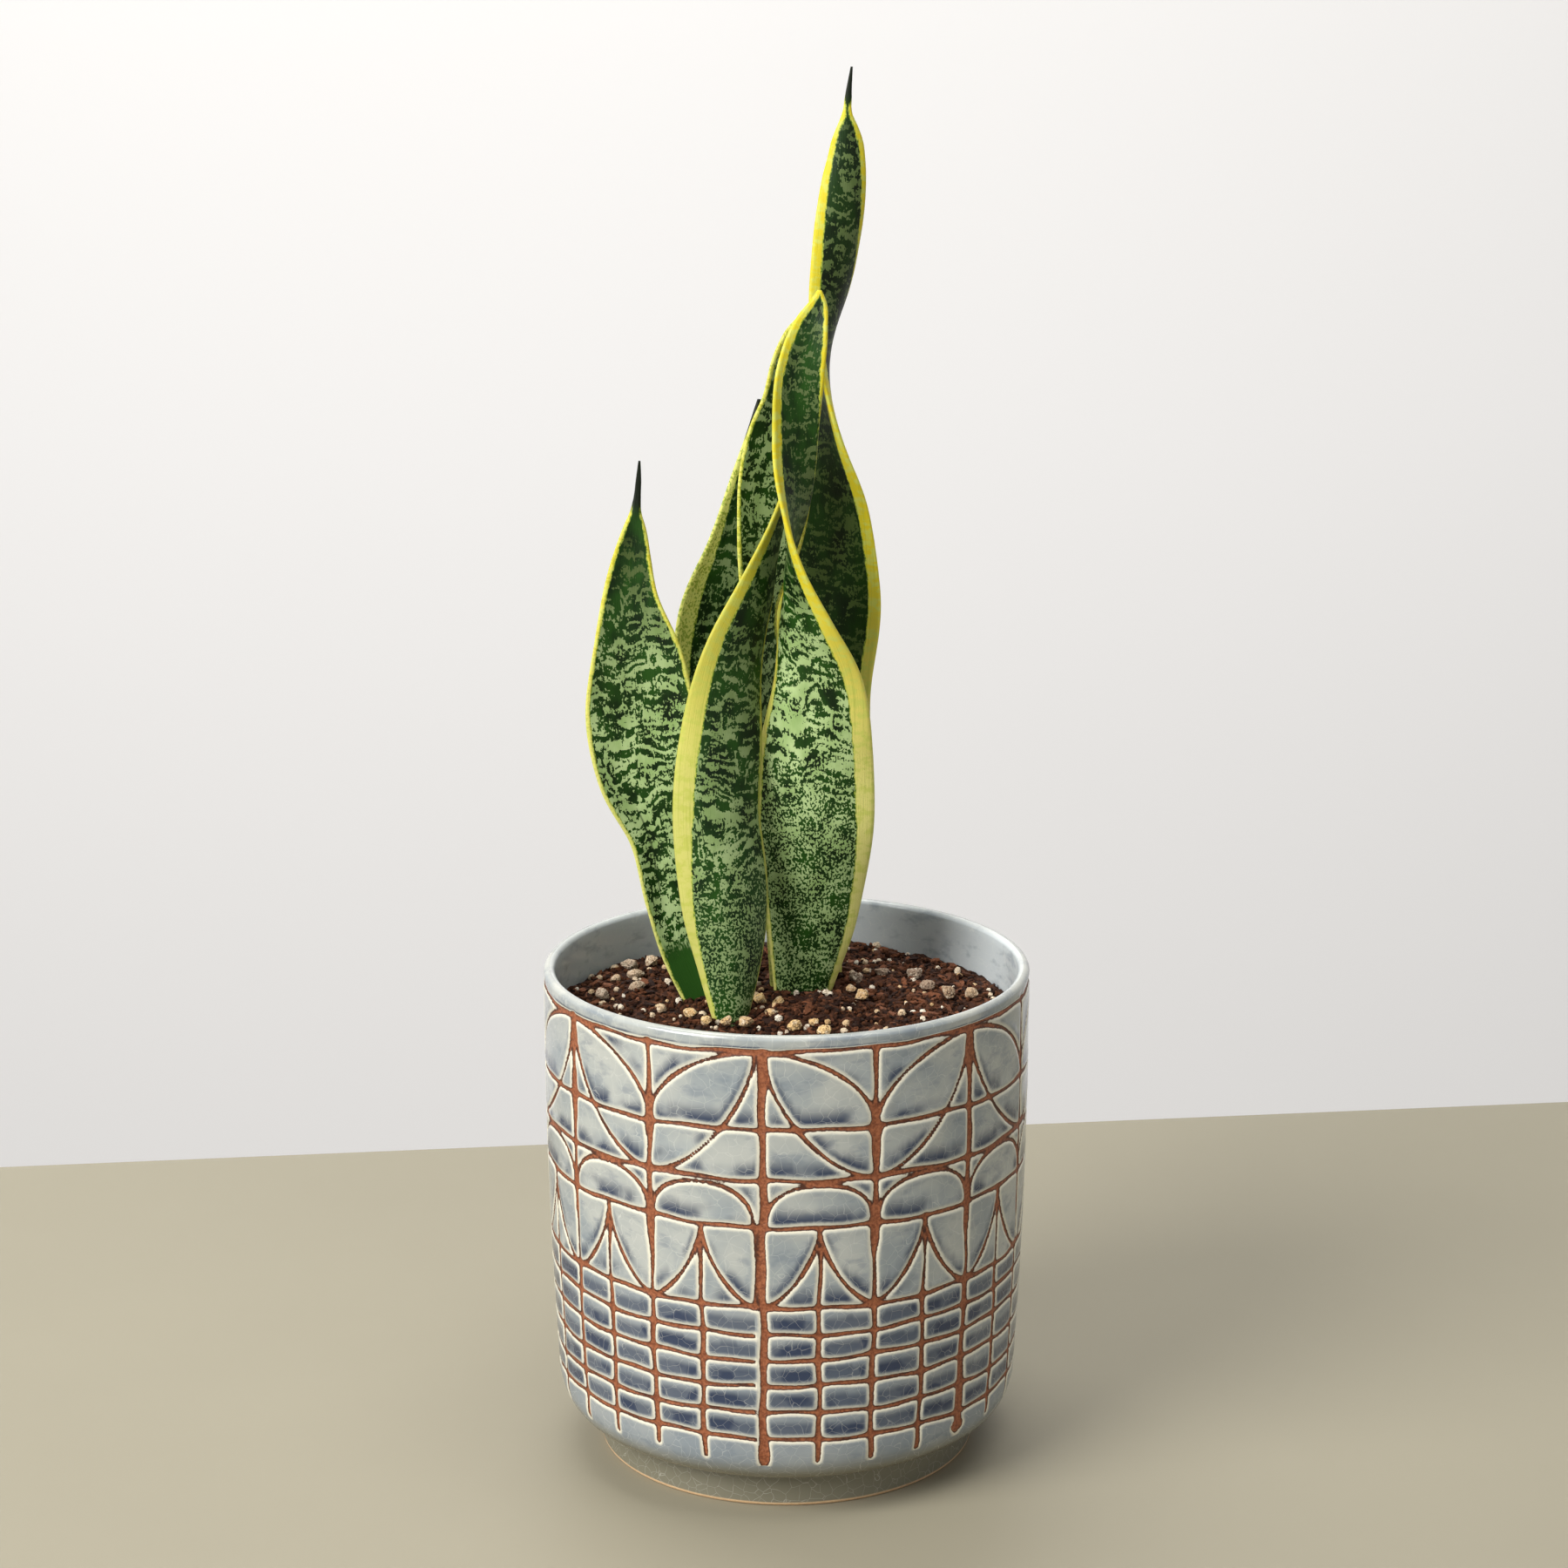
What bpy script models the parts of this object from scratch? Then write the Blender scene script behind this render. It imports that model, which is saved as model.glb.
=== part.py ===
"""A gold-edged snake plant in a round stoneware pot. Metres, +Z up, origin under the pot's middle."""

import math
import random

import bmesh
import bpy
from mathutils import Vector

MM = 0.001
GAP = 0.0003  # between any two pieces that touch or fit
STEPS = 48  # facets round the pot and the soil

# Pot
POT_RADIUS = 0.089
POT_HEIGHT = 0.184
WALL = 0.0042
SIDE_TAPER = 0.0035  # how far the side draws in from its widest down to the shoulder
WIDEST_BELOW_RIM = 0.031
SHOULDER_TOP = 0.030
SHOULDER_INSET = 0.0115
FOOT_RADIUS = 0.0698
FOOT_HEIGHT = 0.014
FOOT_BEVEL = 0.0012
FOOT_RING_WIDTH = 0.0125
FOOT_RECESS = 0.0035
FLOOR_THICKNESS = 0.011  # between the foot's recess and the inside floor
INNER_CORNER = 0.023
DRAIN_RADIUS = 0.007

# Soil
SOIL_BELOW_RIM = 0.018
ROOT_DEPTH = 0.026  # how deep the leaves go
RHIZOME_RADIUS = 0.0075
RUN_THINNING = 0.04  # share of the radius that each further run of the rhizome loses

# Leaves: the tables below are drawn for these two sizes, and stretch with them.
PLANT_HEIGHT = 0.338  # from the soil to the tip of the tallest leaf
DRAWN_PLANT_HEIGHT = 0.338
DRAWN_POT_RADIUS = 0.089
LEAF_THICKNESS = 0.0042
TIP_THINNING = 0.45  # share of its thickness that a leaf loses from soil to tip
MARGIN_THICKNESS = 0.0014
THICKNESS_LIMIT = 0.6  # greatest thickness as a share of the width, where a leaf is narrow
MARGIN_LIMIT = 0.7  # greatest margin thickness as a share of the middle's
SECTION_FULLNESS = 2.2  # how long a section stays thick before it thins to its margins
SECTION_PLACES = (-1.0, -0.6, 0.0, 0.6, 1.0)  # corners across a leaf, from margin to margin
LEAF_RINGS = 20
TIP_CROWDING = 1.25  # above 1 draws the sections together towards the tip
FIRST_RING = 6  # height of the first section above the soil, mm
ROOT_RINGS = 4  # sections from the root up to the first one above the soil
SLOPE_STEP = 0.5  # a leaf's direction is taken this far above and below, mm

# Each station: height above the soil, x, y, width (all mm), turn about the leaf's length and
# half angle of the channel (degrees). Turn 0 lays the width along X; a positive channel lifts
# the margins towards -Y.
LEAVES = {
    "leaf_front_right": (
        (0, 5.8, 16, 22.5, 0, -34),
        (30, 9, 13, 35.5, -2, -28),
        (65, 10, 8, 44, -4, -20),
        (95, 10.5, 5, 42, -8, -17),
        (120, 10.5, 2, 36, -20, -18),
        (145, 5.5, -2, 29.5, -50, -20),
        (165, 2, -4, 25, -78, -22),
        (185, 1.5, -5, 22, -115, -25),
        (210, 2, -4, 19, -150, -30),
        (235, 4.5, -3, 18, -172, -32),
        (250, 8.5, -2, 13, -180, -30),
        (258, 11, -1, 7, -182, -25),
        (263, 11.5, -1, 1.5, -183, -10),
    ),
    "leaf_front_left": (
        (0, -19.5, -14.5, 15.5, 26, -46),
        (14, -19.3, -12.6, 24.5, 23, -46),
        (30, -19.5, -11, 33, 20, -46),
        (75, -23.5, -7, 36, 20, -38),
        (105, -21.5, -3, 34, 26, -35),
        (135, -16, 2, 29, 42, -30),
        (155, -9, 6, 24, 55, -28),
        (175, -3.5, 10, 17, 70, -24),
        (195, 2.5, 14, 10, 80, -20),
        (210, 6.5, 17, 1.5, 85, -10),
    ),
    "leaf_far_left": (
        (0, -28, 11, 20, 0, 38),
        (15, -34, 10, 22, 0, 38),
        (40, -40.5, 9, 25, 2, 36),
        (65, -44.5, 8, 28, 4, 32),
        (88, -51, 7, 38, 6, 28),
        (110, -53, 6, 41, 5, 26),
        (130, -54, 5, 35, 4, 26),
        (155, -56, 5, 20, 2, 28),
        (168, -55.3, 5, 13.8, 0, 28),
        (178, -54.3, 5, 8.4, 0, 26),
        (184, -53.8, 5, 4, 0, 22),
        (189, -53.2, 5, 2.6, 0, 16),
        (195, -52.7, 5, 2, 0, 12),
        (202, -52.3, 5, 0.8, 0, 10),
    ),
    "leaf_back_left": (
        (0, -22, 35, 20, 8, 35),
        (50, -24, 36, 28, 10, 30),
        (100, -27, 37, 32, 10, 26),
        (140, -25.5, 37, 31, 10, 26),
        (165, -18.5, 36, 24, 8, 28),
        (190, -13.5, 35, 15, 6, 30),
        (207, -11, 34.5, 8, 4, 30),
        (220, -10, 34, 1.2, 4, 10),
    ),
    "leaf_centre_back": (
        (0, -1, 32, 18, 42, 35),
        (60, -4, 29, 22, 48, 32),
        (110, -8, 26, 22, 54, 30),
        (145, -11.6, 24, 22, 52, 28),
        (170, -7.3, 23, 27.5, 28, 26),
        (195, -4.5, 22.5, 29, 16, 26),
        (208, -2.4, 22.2, 26.6, 15, 27),
        (220, 0.5, 22, 22.4, 14, 28),
        (238, 2.8, 21, 16.4, 12, 30),
        (247, 5.2, 20.5, 9.6, 10, 26),
        (253, 7.5, 20, 1.5, 10, 10),
    ),
    "leaf_tall_back": (
        (0, 14, 42, 15, -8, 35),
        (25, 12.5, 42, 20.5, -9, 33),
        (60, 15, 42, 32, -10, 30),
        (110, 14, 41, 38, -12, 26),
        (150, 16.5, 40, 40, -14, 24),
        (180, 16, 37.5, 34, -24, 26),
        (205, 14, 35, 26, -45, 28),
        (230, 14, 34, 21, -85, 30),
        (255, 16.3, 34, 20, -132, 32),
        (270, 18, 33.2, 19.5, -150, 30),
        (289, 20, 33, 18.4, -165, 28),
        (298, 20.7, 33, 16.8, -168, 28),
        (307, 21.4, 33.3, 13.6, -172, 26),
        (312, 21.6, 33.5, 11.6, -174, 25),
        (317, 21.6, 33.7, 7.8, -176, 22),
        (321.5, 21.5, 34, 3.8, -178, 18),
        (328, 21.9, 34, 2.4, -179, 14),
        (338, 23, 34, 0.8, -180, 10),
    ),
}
BURIED_WIDTH = 0.8  # a leaf's width at its root, as a share of its width at the soil

# The rhizome runs from its hub, and on from one leaf to the next.
HUB = (-6, 13)
RHIZOME_RUNS = (
    ("leaf_front_left", "hub"),
    ("leaf_far_left", "hub"),
    ("leaf_front_right", "hub"),
    ("hub", "leaf_centre_back"),
    ("leaf_centre_back", "leaf_back_left"),
    ("leaf_centre_back", "leaf_tall_back"),
)

# Loose pumice: shares of a stone's size, then each stone's x, y and size across (mm)
STONE_DEPTH = (0.7, 0.9)
STONE_HEIGHT = (0.6, 0.75)
STONE_ROUGHNESS = 0.12
STONE_FLAT = 0.35
PUMICE = (
    (-45.5, -6.5, 5),
    (-35, -13.5, 5.5),
    (-29, -19.5, 5),
    (-22, -22, 6),
    (-14.5, -22, 6),
    (-10, 4, 6),
    (-3, 1.5, 6),
    (-5.5, -13, 5.5),
    (3, -25.5, 6),
    (10, -23, 5),
    (13.5, -33, 6),
    (24, 17, 5),
    (28, 8, 6.5),
    (26, 29.5, 6.5),
    (37, 36, 7.5),
    (48, 33, 8),
    (52.5, 20, 6),
    (60, 12, 6.5),
    (68.5, 11.5, 6),
    (-68, 9, 6.5),
    (-64.5, 29, 5.5),
    (-57, 34.5, 7),
    (-60, 46, 6.5),
    (-52, 50, 6),
    (-44.5, 54.5, 6),
    (-56, 18, 7),
)

POT_GLAZE = ((0.42, 0.47, 0.52, 1.0), 0.18)
SOIL_BARK = ((0.07, 0.035, 0.022, 1.0), 0.95)
LEAF_GREEN = ((0.06, 0.16, 0.06, 1.0), 0.42)
RHIZOME_SKIN = ((0.45, 0.28, 0.12, 1.0), 0.7)
PUMICE_STONE = ((0.62, 0.48, 0.33, 1.0), 0.9)

SOIL_TOP = POT_HEIGHT - SOIL_BELOW_RIM
INNER_FLOOR = FOOT_RECESS + FLOOR_THICKNESS
SPREAD = POT_RADIUS / DRAWN_POT_RADIUS
STRETCH = PLANT_HEIGHT / DRAWN_PLANT_HEIGHT


def clear_scene():
    for old in list(bpy.data.objects):
        bpy.data.objects.remove(old, do_unlink=True)


def new_collection(name):
    collection = bpy.data.collections.new(name)
    bpy.context.scene.collection.children.link(collection)
    return collection


def new_material(name, look):
    colour, roughness = look
    material = bpy.data.materials.new(name)
    material.use_nodes = True
    shader = material.node_tree.nodes["Principled BSDF"]
    shader.inputs["Base Color"].default_value = colour
    shader.inputs["Roughness"].default_value = roughness
    shader.inputs["Metallic"].default_value = 0.0
    return material


def object_from_bmesh(name, shape, collection, material=None):
    mesh = bpy.data.meshes.new(name)
    shape.to_mesh(mesh)
    shape.free()
    if material is not None:
        mesh.materials.append(material)
    made = bpy.data.objects.new(name, mesh)
    collection.objects.link(made)
    return made


def arc(centre_r, centre_z, radius_r, radius_z, start, end, count):
    """Points (r, z) on part of an ellipse, from one angle to another in degrees."""
    points = []
    for i in range(count + 1):
        angle = math.radians(start + (end - start) * i / count)
        points.append((centre_r + radius_r * math.cos(angle), centre_z + radius_z * math.sin(angle)))
    return points


def outer_radius(z):
    """The pot's outside, from its shoulder up to its rim."""
    widest = POT_HEIGHT - WIDEST_BELOW_RIM
    share = max(0.0, (widest - z) / (widest - SHOULDER_TOP))
    return POT_RADIUS - SIDE_TAPER * share * share


def side_points(top, bottom, inset, count):
    points = []
    for i in range(count + 1):
        z = top + (bottom - top) * i / count
        points.append((outer_radius(z) - inset, z))
    return points


def pot_profile():
    """Down the outside from the rim, under the foot, and up the inside."""
    lip = WALL / 2
    shoulder_r = outer_radius(SHOULDER_TOP) - SHOULDER_INSET
    inner_corner_top = INNER_FLOOR + INNER_CORNER
    inner_r = outer_radius(inner_corner_top) - WALL
    recess_r = FOOT_RADIUS - FOOT_RING_WIDTH
    points = arc(POT_RADIUS - lip, POT_HEIGHT - lip, lip, lip, 90, 0, 4)
    points += side_points(POT_HEIGHT - 2 * lip, SHOULDER_TOP, 0, 6)
    points += arc(shoulder_r, SHOULDER_TOP, SHOULDER_INSET, SHOULDER_TOP - FOOT_HEIGHT, 0, -90, 5)[1:]
    points += [
        (FOOT_RADIUS, FOOT_HEIGHT - FOOT_BEVEL),
        (FOOT_RADIUS, FOOT_BEVEL),
        (FOOT_RADIUS - FOOT_BEVEL, 0),
        (recess_r, 0),
        (recess_r - FOOT_BEVEL, FOOT_RECESS),
        (DRAIN_RADIUS, FOOT_RECESS),
        (DRAIN_RADIUS, INNER_FLOOR),
    ]
    points += arc(inner_r - INNER_CORNER, inner_corner_top, INNER_CORNER, INNER_CORNER, -90, 0, 5)
    points += reversed(side_points(POT_HEIGHT - 2 * lip, inner_corner_top, WALL, 4)[:-1])
    points += arc(POT_RADIUS - lip, POT_HEIGHT - lip, lip, lip, 180, 90, 4)[:-1]
    return points


def soil_profile():
    """From the middle of the top, down the side, to the middle of the floor."""
    inner_corner_top = INNER_FLOOR + INNER_CORNER
    inner_r = outer_radius(inner_corner_top) - WALL
    corner = INNER_CORNER - GAP
    points = [(0, SOIL_TOP)]
    points += side_points(SOIL_TOP, inner_corner_top, WALL + GAP, 4)
    points += arc(inner_r - INNER_CORNER, inner_corner_top, corner, corner, 0, -90, 5)[1:]
    points.append((0, INNER_FLOOR + GAP))
    return points


def turned(name, profile, closed, collection, material):
    """A profile in the XZ plane, turned about Z."""
    shape = bmesh.new()
    corners = [shape.verts.new((r, 0, z)) for r, z in profile]
    for first, second in zip(corners, corners[1:]):
        shape.edges.new((first, second))
    if closed:
        shape.edges.new((corners[-1], corners[0]))
    made = object_from_bmesh(name, shape, collection, material)
    screw = made.modifiers.new("turn", "SCREW")
    screw.steps = STEPS
    screw.render_steps = STEPS
    screw.use_merge_vertices = True
    screw.merge_threshold = 0.00001
    return made


def eased(stations, column, height):
    """One column of a station table at a height, on a smooth curve through the stations."""
    last = len(stations) - 1
    i = 0
    while i < last - 1 and height > stations[i + 1][0]:
        i += 1

    def slope(k):
        low = max(k - 1, 0)
        high = min(k + 1, last)
        if low == k or high == k:
            return (stations[high][column] - stations[low][column]) / (stations[high][0] - stations[low][0])
        before = stations[k][0] - stations[low][0]
        after = stations[high][0] - stations[k][0]
        rise_before = (stations[k][column] - stations[low][column]) / before
        rise_after = (stations[high][column] - stations[k][column]) / after
        return (rise_after * before + rise_before * after) / (before + after)

    step = stations[i + 1][0] - stations[i][0]
    s = (height - stations[i][0]) / step
    start = stations[i][column]
    end = stations[i + 1][column]
    curve = start * (2 * s**3 - 3 * s**2 + 1) + end * (3 * s**2 - 2 * s**3)
    return curve + step * (slope(i) * (s**3 - 2 * s**2 + s) + slope(i + 1) * (s**3 - s**2))


def leaf_at(stations, height):
    """A leaf's spine, width, turn and channel at a height above the soil, in metres and radians."""
    if height <= 0:
        _, x, y, width, turn, channel = stations[0]
        width *= 1 + (1 - BURIED_WIDTH) * height * MM * STRETCH / ROOT_DEPTH
    else:
        x, y, width, turn, channel = (eased(stations, column, height) for column in range(1, 6))
    spine = Vector((x * MM * SPREAD, y * MM * SPREAD, SOIL_TOP + height * MM * STRETCH))
    return spine, width * MM * SPREAD, math.radians(turn), math.radians(channel)


def leaf_thickness(stations, height, width):
    share = max(0.0, height) / stations[-1][0]
    middle = min(LEAF_THICKNESS * (1 - TIP_THINNING * share), THICKNESS_LIMIT * width)
    return middle, min(MARGIN_THICKNESS, MARGIN_LIMIT * middle)


def leaf_section(stations, height, grow):
    """Ten points round a leaf at a height: along its front from margin to margin, then its back."""
    spine, width, turn, channel = leaf_at(stations, height)
    ahead = leaf_at(stations, min(height + SLOPE_STEP, stations[-1][0]))[0]
    behind = leaf_at(stations, height - SLOPE_STEP)[0]
    along = (ahead - behind).normalized()
    across = Vector((math.cos(turn), math.sin(turn), 0))
    across = (across - along * across.dot(along)).normalized()
    facing = across.cross(along)
    middle, margin = leaf_thickness(stations, height, width)
    half = width / 2 + grow
    front = []
    back = []
    for u in SECTION_PLACES:
        angle = channel * u
        centre = spine + across * (half * math.sin(angle) / channel)
        centre += facing * (half * (1 - math.cos(angle)) / channel)
        normal = facing * math.cos(angle) - across * math.sin(angle)
        depth = margin / 2 + (middle - margin) / 2 * (1 - abs(u) ** SECTION_FULLNESS) + grow
        front.append(centre + normal * depth)
        back.append(centre - normal * depth)
    return front + back[::-1]


def ring_heights(stations):
    """Heights of the sections, close together towards the tip."""
    root = -ROOT_DEPTH / MM / STRETCH
    top = stations[-1][0]
    heights = [root, root / 2, 0, FIRST_RING]
    for i in range(1, LEAF_RINGS + 1):
        share = 1 - (1 - i / LEAF_RINGS) ** TIP_CROWDING
        heights.append(FIRST_RING + (top - FIRST_RING) * share)
    return heights


def leaf_loft(name, stations, heights, grow, collection, material=None):
    """A closed skin through a leaf's sections, flat at its root."""
    shape = bmesh.new()
    rings = []
    for height in heights:
        rings.append([shape.verts.new(point) for point in leaf_section(stations, height, grow)])
    for corner in rings[0]:
        corner.co.z = SOIL_TOP - ROOT_DEPTH - grow
    for low, high in zip(rings, rings[1:]):
        for i in range(len(low)):
            j = (i + 1) % len(low)
            shape.faces.new((low[i], low[j], high[j], high[i]))
    for ring in (rings[0], rings[-1]):
        middle = shape.verts.new(sum((corner.co for corner in ring), Vector()) / len(ring))
        for i in range(len(ring)):
            shape.faces.new((ring[i], middle, ring[(i + 1) % len(ring)]))
    bmesh.ops.recalc_face_normals(shape, faces=shape.faces)
    for face in shape.faces:
        face.smooth = True
    return object_from_bmesh(name, shape, collection, material)


def rhizome_point(name):
    x, y = HUB if name == "hub" else LEAVES[name][0][1:3]
    depth = ROOT_DEPTH + GAP + RHIZOME_RADIUS
    return Vector((x * MM * SPREAD, y * MM * SPREAD, SOIL_TOP - depth))


def capsule(name, start, end, radius, collection):
    """A round bar with domed ends: a sphere whose two halves are drawn apart."""
    shape = bmesh.new()
    bmesh.ops.create_uvsphere(shape, u_segments=12, v_segments=7, radius=radius)
    length = (end - start).length
    turn = (end - start).to_track_quat("Z", "X")
    for vert in shape.verts:
        shift = length if vert.co.z > 0 else 0
        vert.co = start + turn @ Vector((vert.co.x, vert.co.y, vert.co.z + shift))
    return object_from_bmesh(name, shape, collection)


def boolean(target, tool, operation):
    modifier = target.modifiers.new(operation.lower(), "BOOLEAN")
    modifier.operation = operation
    modifier.object = tool
    modifier.solver = "EXACT"


def make_rhizome(name, radius, collection, guides, material=None):
    bars = []
    for i, (start, end) in enumerate(RHIZOME_RUNS):
        home = collection if i == 0 else guides
        label = name if i == 0 else f"{name}_run_{i}"
        thinner = radius - RHIZOME_RADIUS * RUN_THINNING * i
        bars.append(capsule(label, rhizome_point(start), rhizome_point(end), thinner, home))
    for bar in bars[1:]:
        boolean(bars[0], bar, "UNION")
    if material is not None:
        bars[0].data.materials.append(material)
    return bars[0]


def make_leaves(collection, material):
    for name, stations in LEAVES.items():
        leaf_loft(name, stations, ring_heights(stations), 0, collection, material)


def make_soil(collection, guides, material):
    """Soil that fills the pot, hollowed round the rhizome and round each leaf's root."""
    soil = turned("soil", soil_profile(), False, collection, material)
    boolean(soil, make_rhizome("rhizome_hollow", RHIZOME_RADIUS + GAP, guides, guides), "DIFFERENCE")
    for name, stations in LEAVES.items():
        heights = ring_heights(stations)[:ROOT_RINGS]
        socket = leaf_loft(f"{name}_socket", stations, heights, GAP, guides)
        boolean(soil, socket, "DIFFERENCE")


def make_pumice(collection, material):
    """Rough stones with a flat side down on the soil."""
    for number, (x, y, size) in enumerate(PUMICE, 1):
        chance = random.Random(number)
        shape = bmesh.new()
        bmesh.ops.create_icosphere(shape, subdivisions=2, radius=size * MM / 2)
        squash = Vector((1.0, chance.uniform(*STONE_DEPTH), chance.uniform(*STONE_HEIGHT)))
        heading = chance.uniform(0, math.pi)
        for vert in shape.verts:
            rough = vert.co * chance.uniform(1 - STONE_ROUGHNESS, 1.0)
            rough = rough * squash
            sink = STONE_FLAT * size * MM * squash.z
            rough.z = max(rough.z, -sink) + sink
            turned_x = rough.x * math.cos(heading) - rough.y * math.sin(heading)
            turned_y = rough.x * math.sin(heading) + rough.y * math.cos(heading)
            vert.co = (turned_x + x * MM * SPREAD, turned_y + y * MM * SPREAD, rough.z + SOIL_TOP + GAP)
        object_from_bmesh(f"pumice_{number:02d}", shape, collection, material)


def hide_guides(guides):
    for guide in guides.objects:
        guide.hide_render = True
        guide.display_type = "WIRE"


def main():
    clear_scene()
    parts = new_collection("potted_snake_plant")
    guides = new_collection("cutters")
    guides.hide_render = True
    turned("pot", pot_profile(), True, parts, new_material("pot_glaze", POT_GLAZE))
    make_soil(parts, guides, new_material("soil_bark", SOIL_BARK))
    make_rhizome("rhizome", RHIZOME_RADIUS, parts, guides, new_material("rhizome_skin", RHIZOME_SKIN))
    make_leaves(parts, new_material("leaf_green", LEAF_GREEN))
    make_pumice(parts, new_material("pumice_stone", PUMICE_STONE))
    hide_guides(guides)


main()
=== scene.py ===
import math
import random

import bmesh
import bpy
import numpy as np
from mathutils import Matrix, Vector, kdtree, noise


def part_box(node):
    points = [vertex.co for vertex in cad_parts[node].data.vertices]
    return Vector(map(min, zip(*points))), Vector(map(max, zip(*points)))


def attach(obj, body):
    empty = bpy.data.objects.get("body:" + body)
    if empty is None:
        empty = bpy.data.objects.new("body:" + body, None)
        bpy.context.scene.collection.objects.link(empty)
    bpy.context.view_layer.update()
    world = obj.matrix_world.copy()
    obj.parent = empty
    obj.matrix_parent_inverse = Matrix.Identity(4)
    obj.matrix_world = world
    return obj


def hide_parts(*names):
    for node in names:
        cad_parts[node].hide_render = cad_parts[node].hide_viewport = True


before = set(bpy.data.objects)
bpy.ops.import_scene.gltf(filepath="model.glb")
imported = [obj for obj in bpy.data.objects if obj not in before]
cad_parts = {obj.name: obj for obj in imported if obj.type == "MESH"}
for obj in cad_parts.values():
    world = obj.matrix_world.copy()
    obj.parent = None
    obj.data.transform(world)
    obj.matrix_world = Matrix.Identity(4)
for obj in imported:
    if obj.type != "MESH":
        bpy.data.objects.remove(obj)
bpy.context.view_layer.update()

MM = 0.001

# ---------------------------------------------------------------- places and sizes
POT_LOW, POT_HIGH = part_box("pot")
SOIL_LOW, SOIL_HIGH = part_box("soil")
POT_RADIUS = POT_HIGH.x / MM
POT_HEIGHT = POT_HIGH.z / MM
SOIL_TOP = SOIL_HIGH.z / MM

# The pot's section, in mm, as the CAD pot has it
WALL = 4.2
SIDE_TAPER = 3.5
WIDEST_BELOW_RIM = 31
SHOULDER_TOP = 30
SHOULDER_INSET = 11.5
FOOT_RADIUS = 69.8
FOOT_HEIGHT = 14
FOOT_BEVEL = 1.2
FOOT_RING_WIDTH = 12.5
FOOT_RECESS = 3.5
FLOOR_TOP = 14.5
INNER_CORNER = 23
DRAIN_RADIUS = 7

POT_COLUMNS = 640
WALL_ROW = 0.9  # height of a row of the patterned wall, mm
GROOVE_DEPTH = 0.6

# Leaf stations, as in the CAD: height above the soil, x, y, width (mm), turn and channel (degrees)
LEAVES = {
    "leaf_front_right": (
        (0, 5.8, 16, 22.5, 0, -34),
        (30, 9, 13, 35.5, -2, -28),
        (65, 10, 8, 44, -4, -20),
        (95, 10.5, 5, 42, -8, -17),
        (120, 10.5, 2, 36, -20, -18),
        (145, 5.5, -2, 29.5, -50, -20),
        (165, 2, -4, 25, -78, -22),
        (185, 1.5, -5, 22, -115, -25),
        (210, 2, -4, 19, -150, -30),
        (235, 4.5, -3, 18, -172, -32),
        (250, 8.5, -2, 13, -180, -30),
        (258, 11, -1, 7, -182, -25),
        (263, 11.5, -1, 1.5, -183, -10),
    ),
    "leaf_front_left": (
        (0, -19.5, -14.5, 15.5, 26, -46),
        (14, -19.3, -12.6, 24.5, 23, -46),
        (30, -19.5, -11, 33, 20, -46),
        (75, -23.5, -7, 36, 20, -38),
        (105, -21.5, -3, 34, 26, -35),
        (135, -16, 2, 29, 42, -30),
        (155, -9, 6, 24, 55, -28),
        (175, -3.5, 10, 17, 70, -24),
        (195, 2.5, 14, 10, 80, -20),
        (210, 6.5, 17, 1.5, 85, -10),
    ),
    "leaf_far_left": (
        (0, -28, 11, 20, 0, 38),
        (15, -34, 10, 22, 0, 38),
        (40, -40.5, 9, 25, 2, 36),
        (65, -44.5, 8, 28, 4, 32),
        (88, -51, 7, 38, 6, 28),
        (110, -53, 6, 41, 5, 26),
        (130, -54, 5, 35, 4, 26),
        (155, -56, 5, 20, 2, 28),
        (168, -55.3, 5, 13.8, 0, 28),
        (178, -54.3, 5, 8.4, 0, 26),
        (184, -53.8, 5, 4, 0, 22),
        (189, -53.2, 5, 2.6, 0, 16),
        (195, -52.7, 5, 2, 0, 12),
        (202, -52.3, 5, 0.8, 0, 10),
    ),
    "leaf_back_left": (
        (0, -22, 35, 20, 8, 35),
        (50, -24, 36, 28, 10, 30),
        (100, -27, 37, 32, 10, 26),
        (140, -25.5, 37, 31, 10, 26),
        (165, -18.5, 36, 24, 8, 28),
        (190, -13.5, 35, 15, 6, 30),
        (207, -11, 34.5, 8, 4, 30),
        (220, -10, 34, 1.2, 4, 10),
    ),
    "leaf_centre_back": (
        (0, -1, 32, 18, 42, 35),
        (60, -4, 29, 22, 48, 32),
        (110, -8, 26, 22, 54, 30),
        (145, -11.6, 24, 22, 52, 28),
        (170, -7.3, 23, 27.5, 28, 26),
        (195, -4.5, 22.5, 29, 16, 26),
        (208, -2.4, 22.2, 26.6, 15, 27),
        (220, 0.5, 22, 22.4, 14, 28),
        (238, 2.8, 21, 16.4, 12, 30),
        (247, 5.2, 20.5, 9.6, 10, 26),
        (253, 7.5, 20, 1.5, 10, 10),
    ),
    "leaf_tall_back": (
        (0, 14, 42, 15, -8, 35),
        (25, 12.5, 42, 20.5, -9, 33),
        (60, 15, 42, 32, -10, 30),
        (110, 14, 41, 38, -12, 26),
        (150, 16.5, 40, 40, -14, 24),
        (180, 16, 37.5, 34, -24, 26),
        (205, 14, 35, 26, -45, 28),
        (230, 14, 34, 21, -85, 30),
        (255, 16.3, 34, 20, -132, 32),
        (270, 18, 33.2, 19.5, -150, 30),
        (289, 20, 33, 18.4, -165, 28),
        (298, 20.7, 33, 16.8, -168, 28),
        (307, 21.4, 33.3, 13.6, -172, 26),
        (312, 21.6, 33.5, 11.6, -174, 25),
        (317, 21.6, 33.7, 7.8, -176, 22),
        (321.5, 21.5, 34, 3.8, -178, 18),
        (328, 21.9, 34, 2.4, -179, 14),
        (338, 23, 34, 0.8, -180, 10),
    ),
}
ROOT_DEPTH = 26
BURIED_WIDTH = 0.8
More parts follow.
